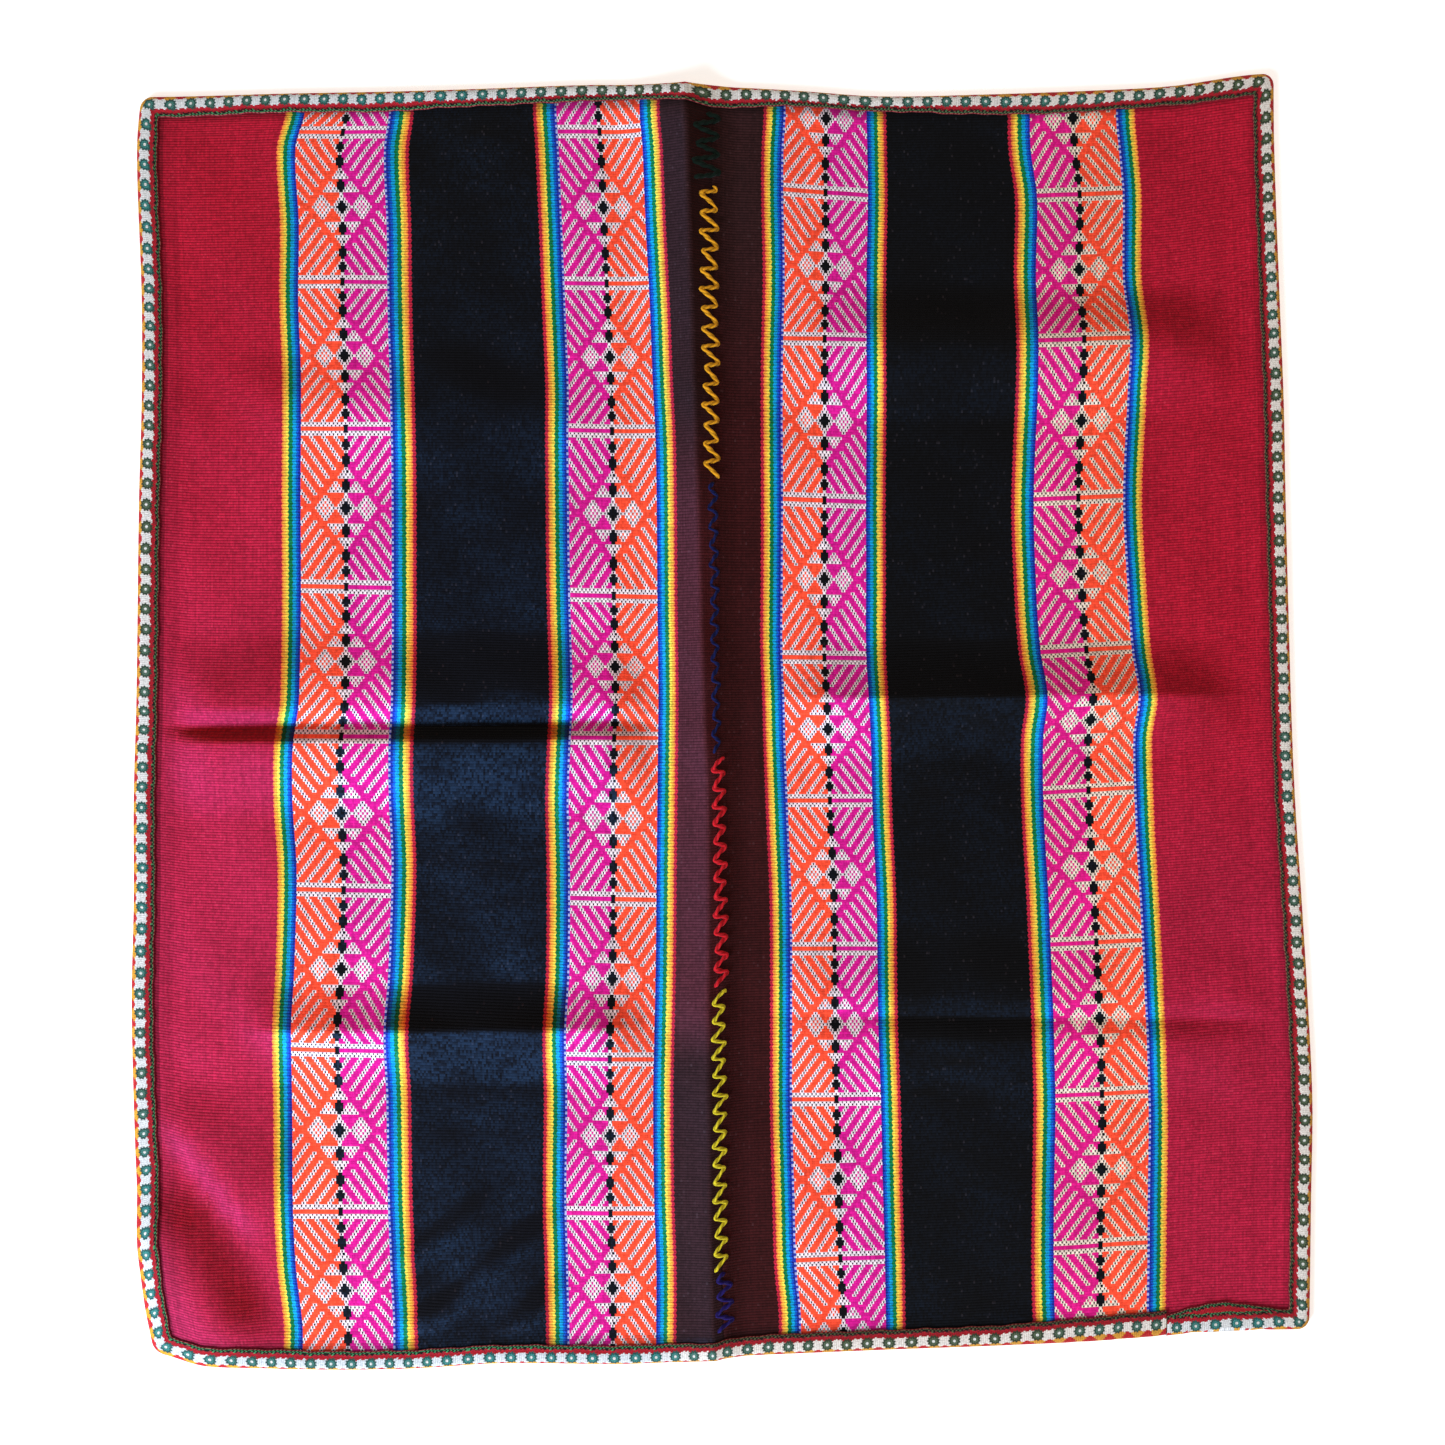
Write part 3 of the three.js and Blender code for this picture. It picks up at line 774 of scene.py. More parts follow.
def panel_maps(across, kept, face, back, rims):
    """Weave map: millimetres across and picks along. Bake map: the face, the back, four rims."""
    picks = np.arange(PICKS + 1)[:, None] - 0.5
    weave = np.stack((across, picks + 0.0 * across), axis=-1)
    weave = np.concatenate((weave.reshape(-1, 2), weave[kept].reshape(-1, 2)))
    low, high = weave.min(axis=0), weave.max(axis=0)
    unit = (weave - low) / (high - low)
    strips = [np.concatenate(strip) for strip in rims]
    bake = [
        room_at + unit[quads.ravel()] * room
        for quads, (room_at, room) in ((face, BAKE_FACE), (back, BAKE_BACK))
    ]
    for i, strip in enumerate(strips):
        place = BAKE_RIM + BAKE_RIM_STEP * i + BAKE_RIM_WIDTH * (strip >= across.size)
        way = BAKE_FACE[0][1] + unit[strip][:, i % 2] * BAKE_FACE[1][1]
        bake.append(np.stack((place, way), axis=-1))
    corner = np.concatenate((face.ravel(), back.ravel(), *strips))
    return {"Weave": weave[corner], "OFBake": np.concatenate(bake)}


# %% Put arrays into a mesh
LAYER_KINDS = {"FACE": ("FLOAT_COLOR", "color"), "POINT": ("FLOAT", "value")}


def make_piece(name, points, faces, maps):
    """A smooth mesh at the origin from points in millimetres, with a UV map for each of maps."""
    mesh = bpy.data.meshes.new(name)
    mesh.from_pydata(points.reshape(-1, 3) * MM, [], faces)
    for map_name, corners in maps.items():
        layer = mesh.uv_layers.new(name=map_name)
        layer.data.foreach_set("uv", np.asarray(corners, np.float32).ravel())
    mesh.polygons.foreach_set("use_smooth", np.ones(len(mesh.polygons), bool))
    mesh.update()
    piece = bpy.data.objects.new(name, mesh)
    bpy.context.collection.objects.link(piece)
    print(name, "triangles", len(mesh.loops) - 2 * len(mesh.polygons))
    return piece


def set_layer(piece, name, domain, values):
    """A named attribute of the mesh: a colour for each face or a number for each point."""
    kind, key = LAYER_KINDS[domain]
    layer = piece.data.attributes.new(name, kind, domain)
    layer.data.foreach_set(key, np.asarray(values, np.float32).ravel())


# %% Build both panels
CLOTH_THICK = 1.6
PICK_RELIEF = 0.12


def woven_panel(name, plan, stripes, widths, dividers, first_pick):
    """Face: grid of lines and picks at fold height plus thickness. Back: the same, coarser."""
    lines = place_lines(plan, stripes, widths, dividers, first_pick)
    positions, charted, lattice, keep = weave_columns(plan, first_pick)
    x, y, across, along = panel_grid(lines, positions, charted[0], lattice, first_pick)
    rows, columns = np.arange(0, PICKS + 1, BACK_PICKS), np.flatnonzero(keep)
    kept = np.ix_(rows, columns)

    # Every second pick stands up.
    under = cloth_under(x, y, across, along)
    relief = PICK_RELIEF * np.where(np.arange(PICKS + 1)[:, None] % 2 == 0, 1.0, -1.0)
    face_points = np.stack((x, y, under + CLOTH_THICK + relief), axis=-1)
    back_points = np.stack((x, y, under), axis=-1)[kept]
    points = np.concatenate((face_points.reshape(-1, 3), back_points.reshape(-1, 3)))

    number = np.arange(x.size).reshape(x.shape)
    back_number = x.size + np.arange(rows.size * columns.size).reshape(rows.size, columns.size)
    face, back, rims = sheet_faces(number, back_number, kept)
    faces = [*face.tolist(), *back.tolist(), *(one for strip in rims for one in strip)]
    piece = make_piece(name, points, faces, panel_maps(across, kept, face, back, rims))

    inside = from_edge(across, along)
    colours, speck_colours = dye_faces(charted, lattice, rows[:-1], columns[:-1], inside)
    set_layer(piece, "yarn", "FACE", colours)
    set_layer(piece, "speck", "FACE", speck_colours)

    # The lattice of the dots runs on the points, in cells from the middle of each band.
    line_cells = np.append(lattice, 0.0)
    line_cells[1:] = np.where(lattice != 0, lattice + 1, line_cells[1:])
    on_back = np.zeros(back_number.size)
    set_layer(piece, "cells", "POINT", np.append(line_cells + 0.0 * x, on_back))
    # Painted light and shade: a number for each point from its slope towards the key light.
    set_layer(piece, "slope_light", "POINT", np.append(painted_light_of(x, y, across, along), on_back + 0.5))
    print(name, "columns", len(lattice), "picks", PICKS)
    return piece


left_cloth = woven_panel(
    "woven_left", LEFT_PLAN, LEFT_STRIPES, STRIPE_WIDTHS[:4], LEFT_DIVIDERS, LEFT_FIRST_PICK
)
right_cloth = woven_panel(
    "woven_right", RIGHT_PLAN, RIGHT_STRIPES, STRIPE_WIDTHS[4:], RIGHT_DIVIDERS, RIGHT_FIRST_PICK
)

# %% [markdown]
# ## Warp-faced wool
#
# Hand-spun wool packed so tightly that the weft is hidden. It is matt and deep in colour, and the
# eye sees fine ribs across the warp, one for each pick, with painted shade in the lines between
# them. Single yarns took the dye a little differently, so there are faint streaks both ways.

# %% One function for nodes


def add(tree, kind, inputs=(), **settings):
    """Add a shader node, set its properties, and give its inputs values or links."""
    made = tree.nodes.new("ShaderNode" + kind)
    for name, value in settings.items():
        setattr(made, name, value)
    for name, value in dict(inputs).items():
        if isinstance(value, bpy.types.Node):
            value = value.outputs[0]
        if isinstance(value, bpy.types.NodeSocket):
            tree.links.new(value, made.inputs[name])
        else:
            made.inputs[name].default_value = value
    return made


def new_material(name):
    """An empty node material and its tree."""
    material = bpy.data.materials.new(name)
    material.use_nodes = True
    material.node_tree.nodes.clear()
    return material, material.node_tree


# %% Ribs and dots
RIB_ROUNDNESS = 0.6
DOT_EDGE = (0.22, 0.6)


def ribs_and_dots(tree, pick, yarn, speck):
    """Height of the ribs, where the dots are, and the yarn's colour with the dots' in them.

    A rib is the absolute cosine of the pick count, raised to a power: one hump for each pick. A
    dot sits where that cosine and the one of the cell count are both large.
    """
    cells = add(tree, "Attribute", attribute_name="cells")
    pick_turn = add(tree, "Math", {0: pick, 1: np.pi}, operation="MULTIPLY")
    pick_wave = add(tree, "Math", {0: pick_turn}, operation="COSINE")
    hump = add(tree, "Math", {0: pick_wave}, operation="ABSOLUTE")
    rib = add(tree, "Math", {0: hump, 1: RIB_ROUNDNESS}, operation="POWER")
    cell_turn = add(tree, "Math", {0: cells.outputs["Fac"], 1: np.pi}, operation="MULTIPLY")
    cell_wave = add(tree, "Math", {0: cell_turn}, operation="COSINE")
    both = add(tree, "Math", {0: cell_wave, 1: pick_wave}, operation="MULTIPLY")
    sized = add(tree, "Math", {0: both, 1: yarn.outputs["Alpha"]}, operation="MULTIPLY")
    dot = add(tree, "MapRange", {
        "Value": sized, "From Min": DOT_EDGE[0], "From Max": DOT_EDGE[1],
    })
    dotted = add(
        tree, "Mix", {0: dot, 6: yarn.outputs["Color"], 7: speck.outputs["Color"]},
        data_type="RGBA",
    )
    return rib, dot, dotted.outputs[2]


# %% [markdown]
# ## Uneven dye and painted shade in the gaps
#
# Hand-dyed wool is never one tone. Streaks run along the warp, about one warp wide and 170 mm
# long, dashes along the picks, one pick wide and about 11 mm long, and faded patches are about
# 110 mm wide. Every float of a warp yarn, 1.4 mm wide and one pick long, has a tone of its own, and
# the gaps between the ribs get painted shade. All of them are multiplied into one number.

# %% Tone of the wool and painted shade in its gaps
WARP_FLOAT = 1.4
FLOAT_SPREAD = 0.18
# Painted shade in the gaps between the ribs: how dark they get where a rib has full depth.
GAP_PAINTED_SHADE = 0.55
# A noise keeps close to its middle, so this part of its range is spread over the tones.
NOISE_RANGE = {"From Min": 0.3, "From Max": 0.7}


def tone_and_gap_shade(tree, weave, place, rib, depth):
    """1 less the painted shade of the gaps, times every tone of the dye. Also each float's
    random number.
    """
    streaks = add(tree, "Mapping", {0: weave, 3: (0.8, 0.012, 1.0)})
    dashes = add(tree, "Mapping", {0: weave, 3: (0.09, 0.9, 1.0)})
    tones = []
    for vector, scale, detail, spread in (
        (streaks, 1.0, 3.0, 0.14), (dashes, 1.0, 3.0, 0.14), (place, 9.0, 2.0, 0.1),
    ):
        dye = add(tree, "TexNoise", {"Vector": vector, "Scale": scale, "Detail": detail})
        tones.append(add(tree, "MapRange", {
            "Value": dye, **NOISE_RANGE, "To Min": 1.0 - spread, "To Max": 1.0 + spread,
        }))
    floats = add(tree, "Mapping", {0: weave, 1: (0.0, 0.5, 0.0), 3: (1 / WARP_FLOAT, 1.0, 1.0)})
    each = add(tree, "VectorMath", {0: floats}, operation="FLOOR")
    grain = add(tree, "TexWhiteNoise", {"Vector": each}, noise_dimensions="2D")
    tones.append(add(tree, "MapRange", {
        "Value": grain, "To Min": 1.0 - FLOAT_SPREAD, "To Max": 1.0 + FLOAT_SPREAD,
    }))
    # Painted shade: the gaps between the ribs are darkened by the ribs' depth.
    shade_depth = add(tree, "Math", {0: depth, 1: GAP_PAINTED_SHADE}, operation="MULTIPLY")
    gap = add(tree, "Math", {0: 1.0, 1: rib}, operation="SUBTRACT")
    gap_shade = add(tree, "Math", {0: gap, 1: shade_depth}, operation="MULTIPLY")
    tone = add(tree, "Math", {0: 1.0, 1: gap_shade}, operation="SUBTRACT")
    for part in tones:
        tone = add(tree, "Math", {0: tone, 1: part}, operation="MULTIPLY")
    return tone, grain


# %% [markdown]
# ## Painted light and painted sheen
#
# A slope that faces the lower left, where the key light is, is painted paler and cooler, one that
# faces away gets painted shade, deeper and warmer, and a flat stretch keeps its dye. On dark
# stripes a bluish sheen is painted in slanting patches, on slopes that face the light and most of
# all in the near half, nearer the light. The painted light is a tint that multiplies the dye, and
# the painted sheen is added, because it is light that lies over the dye.

# %% Painted light and painted sheen
# Tints of painted shade, of a level stretch and of painted light, and the share of them that
# patterned bands get.
PAINTED_SHADE_TINT = (0.6, 0.24, 0.15, 1.0)
LEVEL_TINT = (1.0, 1.0, 1.0, 1.0)
PAINTED_LIGHT_TINT = (1.03, 1.42, 1.7, 1.0)
PAINTED_LIGHT_ON_PATTERN = 0.25
# Colour of the painted sheen: bluish light caught by the fibres of dark stripes.
PAINTED_SHEEN = "#13263c"
# Between these picks the painted sheen goes down to a share of what it is in the near half.
SHEEN_PICKS, SHEEN_FAR = (230.0, 330.0), 0.35


def with_painted_light(tree, colour, slope_light, depth, amount):
    """The colour mixed with its copy in painted light and shade, by an amount that is less on
    patterned bands.
    """
    shade_share = add(tree, "MapRange", {"Value": slope_light, "From Min": 0.5, "From Max": 0.0})
    light_share = add(tree, "MapRange", {"Value": slope_light, "From Min": 0.5, "From Max": 1.0})
    tint = add(tree, "Mix", {0: shade_share, 6: LEVEL_TINT, 7: PAINTED_SHADE_TINT}, data_type="RGBA")
    tint = add(tree, "Mix", {0: light_share, 6: tint.outputs[2], 7: PAINTED_LIGHT_TINT}, data_type="RGBA")
    lit_and_shaded = add(tree, "VectorMath", {0: colour, 1: tint.outputs[2]}, operation="MULTIPLY")
    share = add(tree, "MapRange", {
        "Value": depth, "From Min": PLAIN_CELL_RIB, "From Max": 1.0,
        "To Min": PAINTED_LIGHT_ON_PATTERN * amount, "To Max": amount,
    })
    return add(tree, "Mix", {0: share, 6: colour, 7: lit_and_shaded}, data_type="RGBA").outputs[2]


def with_painted_sheen(tree, colour, dye, place, pick, slope_light, grain, amount):
    """The colour plus the painted sheen's, times a noise, the float's number and three shares.

    The shares are for dark dye, for a slope that faces up to the light, and for the near half,
    which is nearer the key light.
    """
    slanted = add(tree, "Mapping", {0: place, 2: (0.0, 0.0, 0.6), 3: (24.0, 55.0, 1.0)})
    patches = add(tree, "TexNoise", {"Vector": slanted, "Scale": 1.0, "Detail": 4.0})
    share = add(tree, "MapRange", {
        "Value": patches, "From Min": 0.25, "From Max": 0.8, "To Max": amount,
    })
    red = add(tree, "SeparateColor", {0: dye})
    dark = add(tree, "MapRange", {
        "Value": red, "From Min": 0.004, "From Max": 0.02, "To Min": 1.0, "To Max": 0.0,
    })
    skyward = add(tree, "MapRange", {"Value": slope_light, "From Min": 0.4, "From Max": 0.7, "To Max": 2.0})
    near_light_share = add(tree, "MapRange", {
        "Value": pick, "From Min": SHEEN_PICKS[0], "From Max": SHEEN_PICKS[1],
        "To Min": 1.0, "To Max": SHEEN_FAR,
    })
    for part in (grain, dark, skyward, near_light_share):
        share = add(tree, "Math", {0: share, 1: part}, operation="MULTIPLY")
    return add(
        tree, "Mix", {0: share, 6: colour, 7: dyed(PAINTED_SHEEN)}, data_type="RGBA", blend_type="ADD"
    ).outputs[2]


# %% The woven wool
PALE_FIBRE = "#c8b4c0"


def warp_faced_wool(name, light_amount, sheen_amount):
    """Dye of the face times tones, then painted light and shade and a painted sheen. The last two
    arguments say how much of each a panel gets.
    """
    material, tree = new_material(name)
    weave = add(tree, "UVMap", uv_map="Weave")
    pick = add(tree, "SeparateXYZ", {0: weave}).outputs["Y"]
    place = add(tree, "TexCoord").outputs["Object"]
    yarn = add(tree, "Attribute", attribute_name="yarn")
    speck = add(tree, "Attribute", attribute_name="speck")
    slope_light = add(tree, "Attribute", attribute_name="slope_light").outputs["Fac"]
    depth = speck.outputs["Alpha"]

    rib, dot, colour = ribs_and_dots(tree, pick, yarn, speck)
    tone, grain = tone_and_gap_shade(tree, weave, place, rib, depth)
    toned = add(tree, "VectorMath", {0: colour, "Scale": tone}, operation="SCALE")
    # A few floats carry a pale fibre.
    lint = add(tree, "MapRange", {
        "Value": grain, "From Min": 0.98, "From Max": 1.0, "To Max": 0.02,
    })
    colour = add(
        tree, "Mix", {0: lint, 6: toned, 7: dyed(PALE_FIBRE)}, data_type="RGBA"
    ).outputs[2]
    colour = with_painted_light(tree, colour, slope_light, depth, light_amount)
    colour = with_painted_sheen(
        tree, colour, yarn.outputs["Color"], place, pick, slope_light, grain, sheen_amount
    )

    # Relief: the ribs stand up, the dots sink, and fine fibre roughens both.
    rib_height = add(tree, "Math", {0: rib, 1: depth}, operation="MULTIPLY")
    fibre = add(tree, "TexNoise", {"Vector": weave, "Scale": 1.6, "Detail": 4.0})
    relief = add(tree, "Math", {0: rib_height, 1: dot}, operation="SUBTRACT")
    relief = add(tree, "Math", {0: fibre, 1: 0.6, 2: relief}, operation="MULTIPLY_ADD")
    bump = add(tree, "Bump", {"Strength": 0.7, "Distance": 0.0006, "Height": relief})
    shader = add(tree, "BsdfPrincipled", {
        "Base Color": colour, "Roughness": 0.9, "Normal": bump,
        "Specular IOR Level": 0.1, "Sheen Weight": 0.03, "Sheen Roughness": 0.45,
    })
    add(tree, "OutputMaterial", {"Surface": shader})
    return material


# The left panel, nearer the key light, gets more painted light, shade and sheen than the right.
wool_left = warp_faced_wool("warp_faced_wool_left", 1.0, 1.2)
wool_right = warp_faced_wool("warp_faced_wool_right", 0.4, 0.3)
left_cloth.data.materials.append(wool_left)
right_cloth.data.materials.append(wool_right)
print("materials:", wool_left.name, wool_right.name)

# %% [markdown]
# ## The edge band
#
# A narrow tube is woven straight on to the edge of the cloth, and its warp makes rows of eyes. It
# is a profile carried along a path: over the face to the edge, round it, and back under the cloth.
# The path runs from the join, round four corners and back to the join, and only the flat top of
# the profile grows where the band is wider.

# %% Path of the band
BAND_JOIN = 758.0
BAND_JOIN_GAP = 0.5
CORNER_STEPS = 8
TIGHTEST = 0.8
EYE_PITCH = 15.1
EYE_COLUMNS = 11
MIDDLE_OF_BAND = 6.0
# How far the band reaches in over the face. Columns: distance along it from the join, reach.
BAND_REACHES = np.array([
    (0, 15.5), (106, 16.0), (600, 15.6), (1067, 16.3), (1105, 15.0), (1182, 16.6), (1259, 15.0),
    (1298, 12.5), (1375, 12.0), (1413, 13.5), (1452, 17.0), (1496, 12.0), (1543, 12.5),
    (1652, 13.7), (1698, 15.3), (1792, 14.5), (1869, 16.0), (2300, 16.2), (2600, 16.5),
    (2720, 17.5), (2840, 17.0), (2900, 14.8), (2940, 14.3), (3190, 14.3), (3290, 15.6),
    (3430, 15.8), (3500, 18.5), (3540, 19.8), (3590, 19.0), (3616, 17.0),
])


def band_path():
    """Key places of the path: the join, the turns of the corners, the join.

    For each: a base point, the way in, the way out, and 1 where there is a round. At a depth w a
    place is base + way in * (w + r) + way out * r, where r is the radius left at that depth, and 0
    where there is no round.
    """
    corners = np.array([(1, 0), (1, 1), (0, 1), (0, 0)]) * (CLOTH_WIDTH, CLOTH_LENGTH)
    ways = np.array([(0, 1), (-1, 0), (0, -1), (1, 0), (0, 1)])
    turn = np.linspace(0.0, np.pi / 2, CORNER_STEPS + 1)[:, None]
    rows = [[(BAND_JOIN + BAND_JOIN_GAP, 0, 0, 1, 0, 0, 0)]]
    for i, corner in enumerate(corners):
        out = -(np.cos(turn) * ways[i] + np.sin(turn) * ways[i + 1])
        same = np.ones((len(turn), 1))
        rows.append(np.hstack((same * corner, same * (ways[i] + ways[i + 1]), out, same)))
    rows.append([(BAND_JOIN, 0, 0, 1, 0, 0, 0)])
    keys = np.vstack(rows)
    return keys[:, 0:2], keys[:, 2:4], keys[:, 4:6], keys[:, 6]


BASE, WAY_IN, WAY_OUT, ROUND = band_path()


def at_key(key, depth):
    """Distances across and along the flat cloth of the key places, at depths from the edge."""
    radius = ROUND[key][:, None] * np.maximum(BAND_CORNER - depth, TIGHTEST)
    place = BASE[key][:, None] + WAY_IN[key][:, None] * (depth + radius)[..., None]
    return place + WAY_OUT[key][:, None] * radius[..., None]


every_key = np.arange(len(BASE))
middle_line = at_key(every_key, np.full((len(BASE), 1), MIDDLE_OF_BAND))[:, 0]
spans = np.linalg.norm(np.diff(middle_line, axis=0), axis=1)
steps = np.maximum(1, np.round(spans / (EYE_PITCH / EYE_COLUMNS))).astype(int)
KEY = np.append(np.repeat(every_key[:-1], steps), len(BASE) - 2)
KEY_SHARE = np.append(np.concatenate([np.arange(n) / n for n in steps]), 1.0)
BAND_LENGTH = np.interp(KEY + KEY_SHARE, every_key, np.append(0.0, np.cumsum(spans)))
print("band: stations", len(KEY), "length, mm", round(BAND_LENGTH[-1]))

# %% [markdown]
# ## The chart of the band
#
# White yarn makes the ground, and in every repeat it meets red on the inner side and gold and red
# on the outer one. A fine plied cord lies next to the cloth. The chart is one repeat: each line is
# a row of warp, read from the cloth outwards. The round eyes are finer than the rows, so the
# material draws them, and the mesh only says how far each point is from the middle of its eye.

# %% Chart of the band
BAND_CHART = (
    "mmmmmmmmmmm",
    "pmpmpmpmpmp",
    "gkgkgkgkgkg",
    "kgkgkgkgkgk",
    "kmkgkmkgkmk",
    "kmrgkmrkmkr",
    "rmrrrrmrrrr",
    "rrrrrrrrrrr",
    "rrrrrrrrrrr",
    "rwrrrrrrrwr",
    "wwwrrrrrwww",
    "wwwwwwwwwww",
    "wwwwwwwwwww",
    "wwwwwwwwwww",
    "wwwwwwwwwww",
    "wwwwwwwwwww",
    "wwwwwwwwwww",
    "wwwwwwwwwww",
    "wwwwyyywwww",
    "swwyyyyywws",
    "ssyyyyyyyss",
    "ssyyyyyyyss",
    "sssyyyyysss",
    "sssyyyyysss",
    "ssssyyyssss",
    "ssssyyyssss",
    "sssyyyyysss",
    "ssyyyyyyyss",
    "sssyyyyysss",
    "wwwwwwwwwww",
    "wwwwwwwwwww",
    "wwwwwwwwwww",
    "rrrrrrrrrrr",
    "rrrrrrrrrrr",
    "wwwwwwwwwww",
    "wwwwwwwwwww",
)
EYE_ROW = 14.3
# Each letter's colour under painted warm light and shade and under painted cool light. The eyes'
# own yarn is the letter e.
BAND_YARNS = {
    "m": ("#6e1c20", "#8a2230"),
    "p": ("#94423e", "#b8525e"),
    "k": ("#1c1512", "#141a14"),
    "g": ("#545a3c", "#3f9460"),
    "r": ("#a81c28", "#b81c2c"),
    "w": ("#ece6dc", "#dce6ea"),
    "e": ("#4e5e46", "#36807c"),
    "s": ("#c02a2c", "#c8242e"),
    "y": ("#d89a3a", "#e8a82a"),
}
# How much painted cool light the band gets, most at the near left corner and least along the right
# side. Columns: distance along the band from the join, painted cool light from 0 to 1.
BAND_COOL_LIGHT = np.array([
    (0, 0.6), (60, 0.6), (120, 0.1), (700, 0.0), (1040, 0.1), (1300, 0.3), (1500, 0.4),
    (1750, 0.8), (1900, 0.6), (2150, 0.4), (2450, 0.5), (2700, 0.8), (2850, 1.0), (3170, 1.0),
    (3215, 0.1), (3560, 0.0), (3616, 0.5),
])
print("chart of the band:", len(BAND_CHART), "rows of", EYE_COLUMNS, "cells")

# %% Faces and maps of a tube


def tube_faces(count, ring, corners):
    """Faces between neighbouring rings of points and a cap at each end, all facing outwards."""
    number = np.arange(count * ring).reshape(count, ring)
    quads = at_corners(np.hstack((number, number[:, :1])), corners).reshape(-1, 4)
    caps = np.stack((number[0, ::-1], number[-1]))
    return [*quads.tolist(), *(caps if corners == FACING_UP else caps[:, ::-1]).tolist()]


def tube_maps(pairs, ring, caps_at):
    """UV maps from pairs of coordinates of the faces' corners, with both caps at one place."""
    caps = np.full((2 * ring, 2), caps_at)
    return {
        name: np.vstack((np.stack(pair, axis=-1).reshape(-1, 2), caps))
        for name, pair in pairs.items()
    }


# %% Section of the band
CHART_ROW = 0.75
FINE_ROWS = 27
UNDER_ROWS = 5
NARROWEST = 12.0
# Columns: distance in from the edge and height, from the inner edge over the top and round.
BAND_PROFILE = np.array([
    (12.0, 3.9), (12.2, 4.4), (12.0, 4.9), (11.6, 5.1), (11.2, 4.95), (10.7, 5.4), (9.8, 5.7),
    (8.9, 5.4), (8.5, 5.15), (7.8, 5.5), (6.2, 5.95), (5.0, 6.05), (3.9, 5.95), (2.8, 5.6),
    (1.7, 5.0), (0.8, 4.2), (0.2, 3.4), (0.0, 2.7), (0.3, 1.7), (1.2, 0.7), (2.8, 0.15),
    (5.5, 0.0), (10.0, 0.0), (14.5, 0.0), (15.0, 0.5),
])
GROWS_AT = 11
SLOT = np.array([(15.0, 1.4), (2.4, 1.4), (2.2, 3.8)])


def band_section(reach):
    """Depth and height of every row at every station, and the length of the way round to it.

    Up to the flat top the profile keeps its distance from the inner edge, past it the distance
    from the outer edge, and the flat top takes up the rest of the reach.
    """
    run = np.append(0.0, np.cumsum(np.hypot(*np.diff(BAND_PROFILE, axis=0).T)))
    extra = (reach - NARROWEST)[:, None]
    fine = np.arange(FINE_ROWS + 1) * CHART_ROW + 0.0 * extra
    left_over = run[-1] + extra - fine[:, -1:]
    way = np.hstack((fine, fine[:, -1:] + left_over * np.arange(1, UNDER_ROWS + 1) / UNDER_ROWS))
    past = np.maximum(way - run[GROWS_AT], 0.0)
    plain_way = np.where(past > 0.0, run[GROWS_AT] + np.maximum(past - extra, 0.0), way)
    depth = np.interp(plain_way, run, BAND_PROFILE[:, 0]) + np.clip(extra - past, 0.0, extra)
    height = np.interp(plain_way, run, BAND_PROFILE[:, 1])
    slot = SLOT[None] + 0.0 * extra[..., None]
    return np.hstack((depth, slot[..., 0])), np.hstack((height, slot[..., 1])), way


# %% Points of the band
# Uneven hands. Columns: height of a wave, the length over which it turns by one radian, its start.
REACH_WAVES = ((0.3, 5.9, 0.0), (0.25, 2.6, 1.0))
EYE_WAVES = ((2.0, 47.0, 0.0), (1.0, 17.0, 0.0))
BUNCH_END, BUNCH = 846.0, 7.0
SQUEEZED, SQUEEZE = 14.6, 0.7
CORD_FROM, CORD_TO, CORD_EDGE = 1.6, 4.4, 0.8
CORD_TWIST, CORD_LAY, CORD_RISE = 2.65, 3.0, 0.25


def waves_along(table):
    """Sum of sine waves along the band."""
    return sum(height * np.sin(BAND_LENGTH / run + start) for height, run, start in table)


def band_points():
    """Points of the section at every station, the way round to each, and how far rows are pushed.

    Beside the join the band is bunched and its rows move outwards, and where it is narrow they
    move inwards. The cord's height is a cosine of a way that runs slanting along it.
    """
    reach = curve_through(BAND_LENGTH, *BAND_REACHES.T) + waves_along(REACH_WAVES)
    on_bunch = np.clip(BAND_LENGTH / (BUNCH_END - BAND_JOIN), 0.0, 1.0)
    bunch = BUNCH * np.sin(np.pi * on_bunch) * (KEY == 0)
    pushed = bunch - SQUEEZE * np.maximum(SQUEEZED - reach, 0.0)
    depth, height, way = band_section(np.maximum(reach, NARROWEST) + bunch)
    twist = np.cos(2 * np.pi * (BAND_LENGTH[:, None] / CORD_TWIST + way / CORD_LAY))
    on_cord = smoothstep(way, CORD_FROM, CORD_FROM + CORD_EDGE)
    on_cord = on_cord * (1 - smoothstep(way, CORD_TO - CORD_EDGE, CORD_TO))
    height[:, :way.shape[1]] += CORD_RISE * twist * on_cord
    one, two = at_key(KEY, depth), at_key(KEY + 1, depth)
    flat = one + (two - one) * KEY_SHARE[:, None, None]
    x, y = on_floor(flat[..., 0], flat[..., 1])
    return np.stack((x, y, fold_height(x, y) + height), axis=-1), way, pushed


# %% Dye and maps of the band
CORD_ROWS, CORD_ALONE, RED_ROW = 6, 4, 7
DYE_LOTS, LOT_LENGTH, LOT_DRIFT = 0.35, 61.0, 140.0
CUT_END = "#b8a8a0"
BAKE_ROWS = 8
BAKE_ALONG, BAKE_ROUND, BAKE_CAPS = (0.004, 0.992), (0.03, 0.94), 0.001


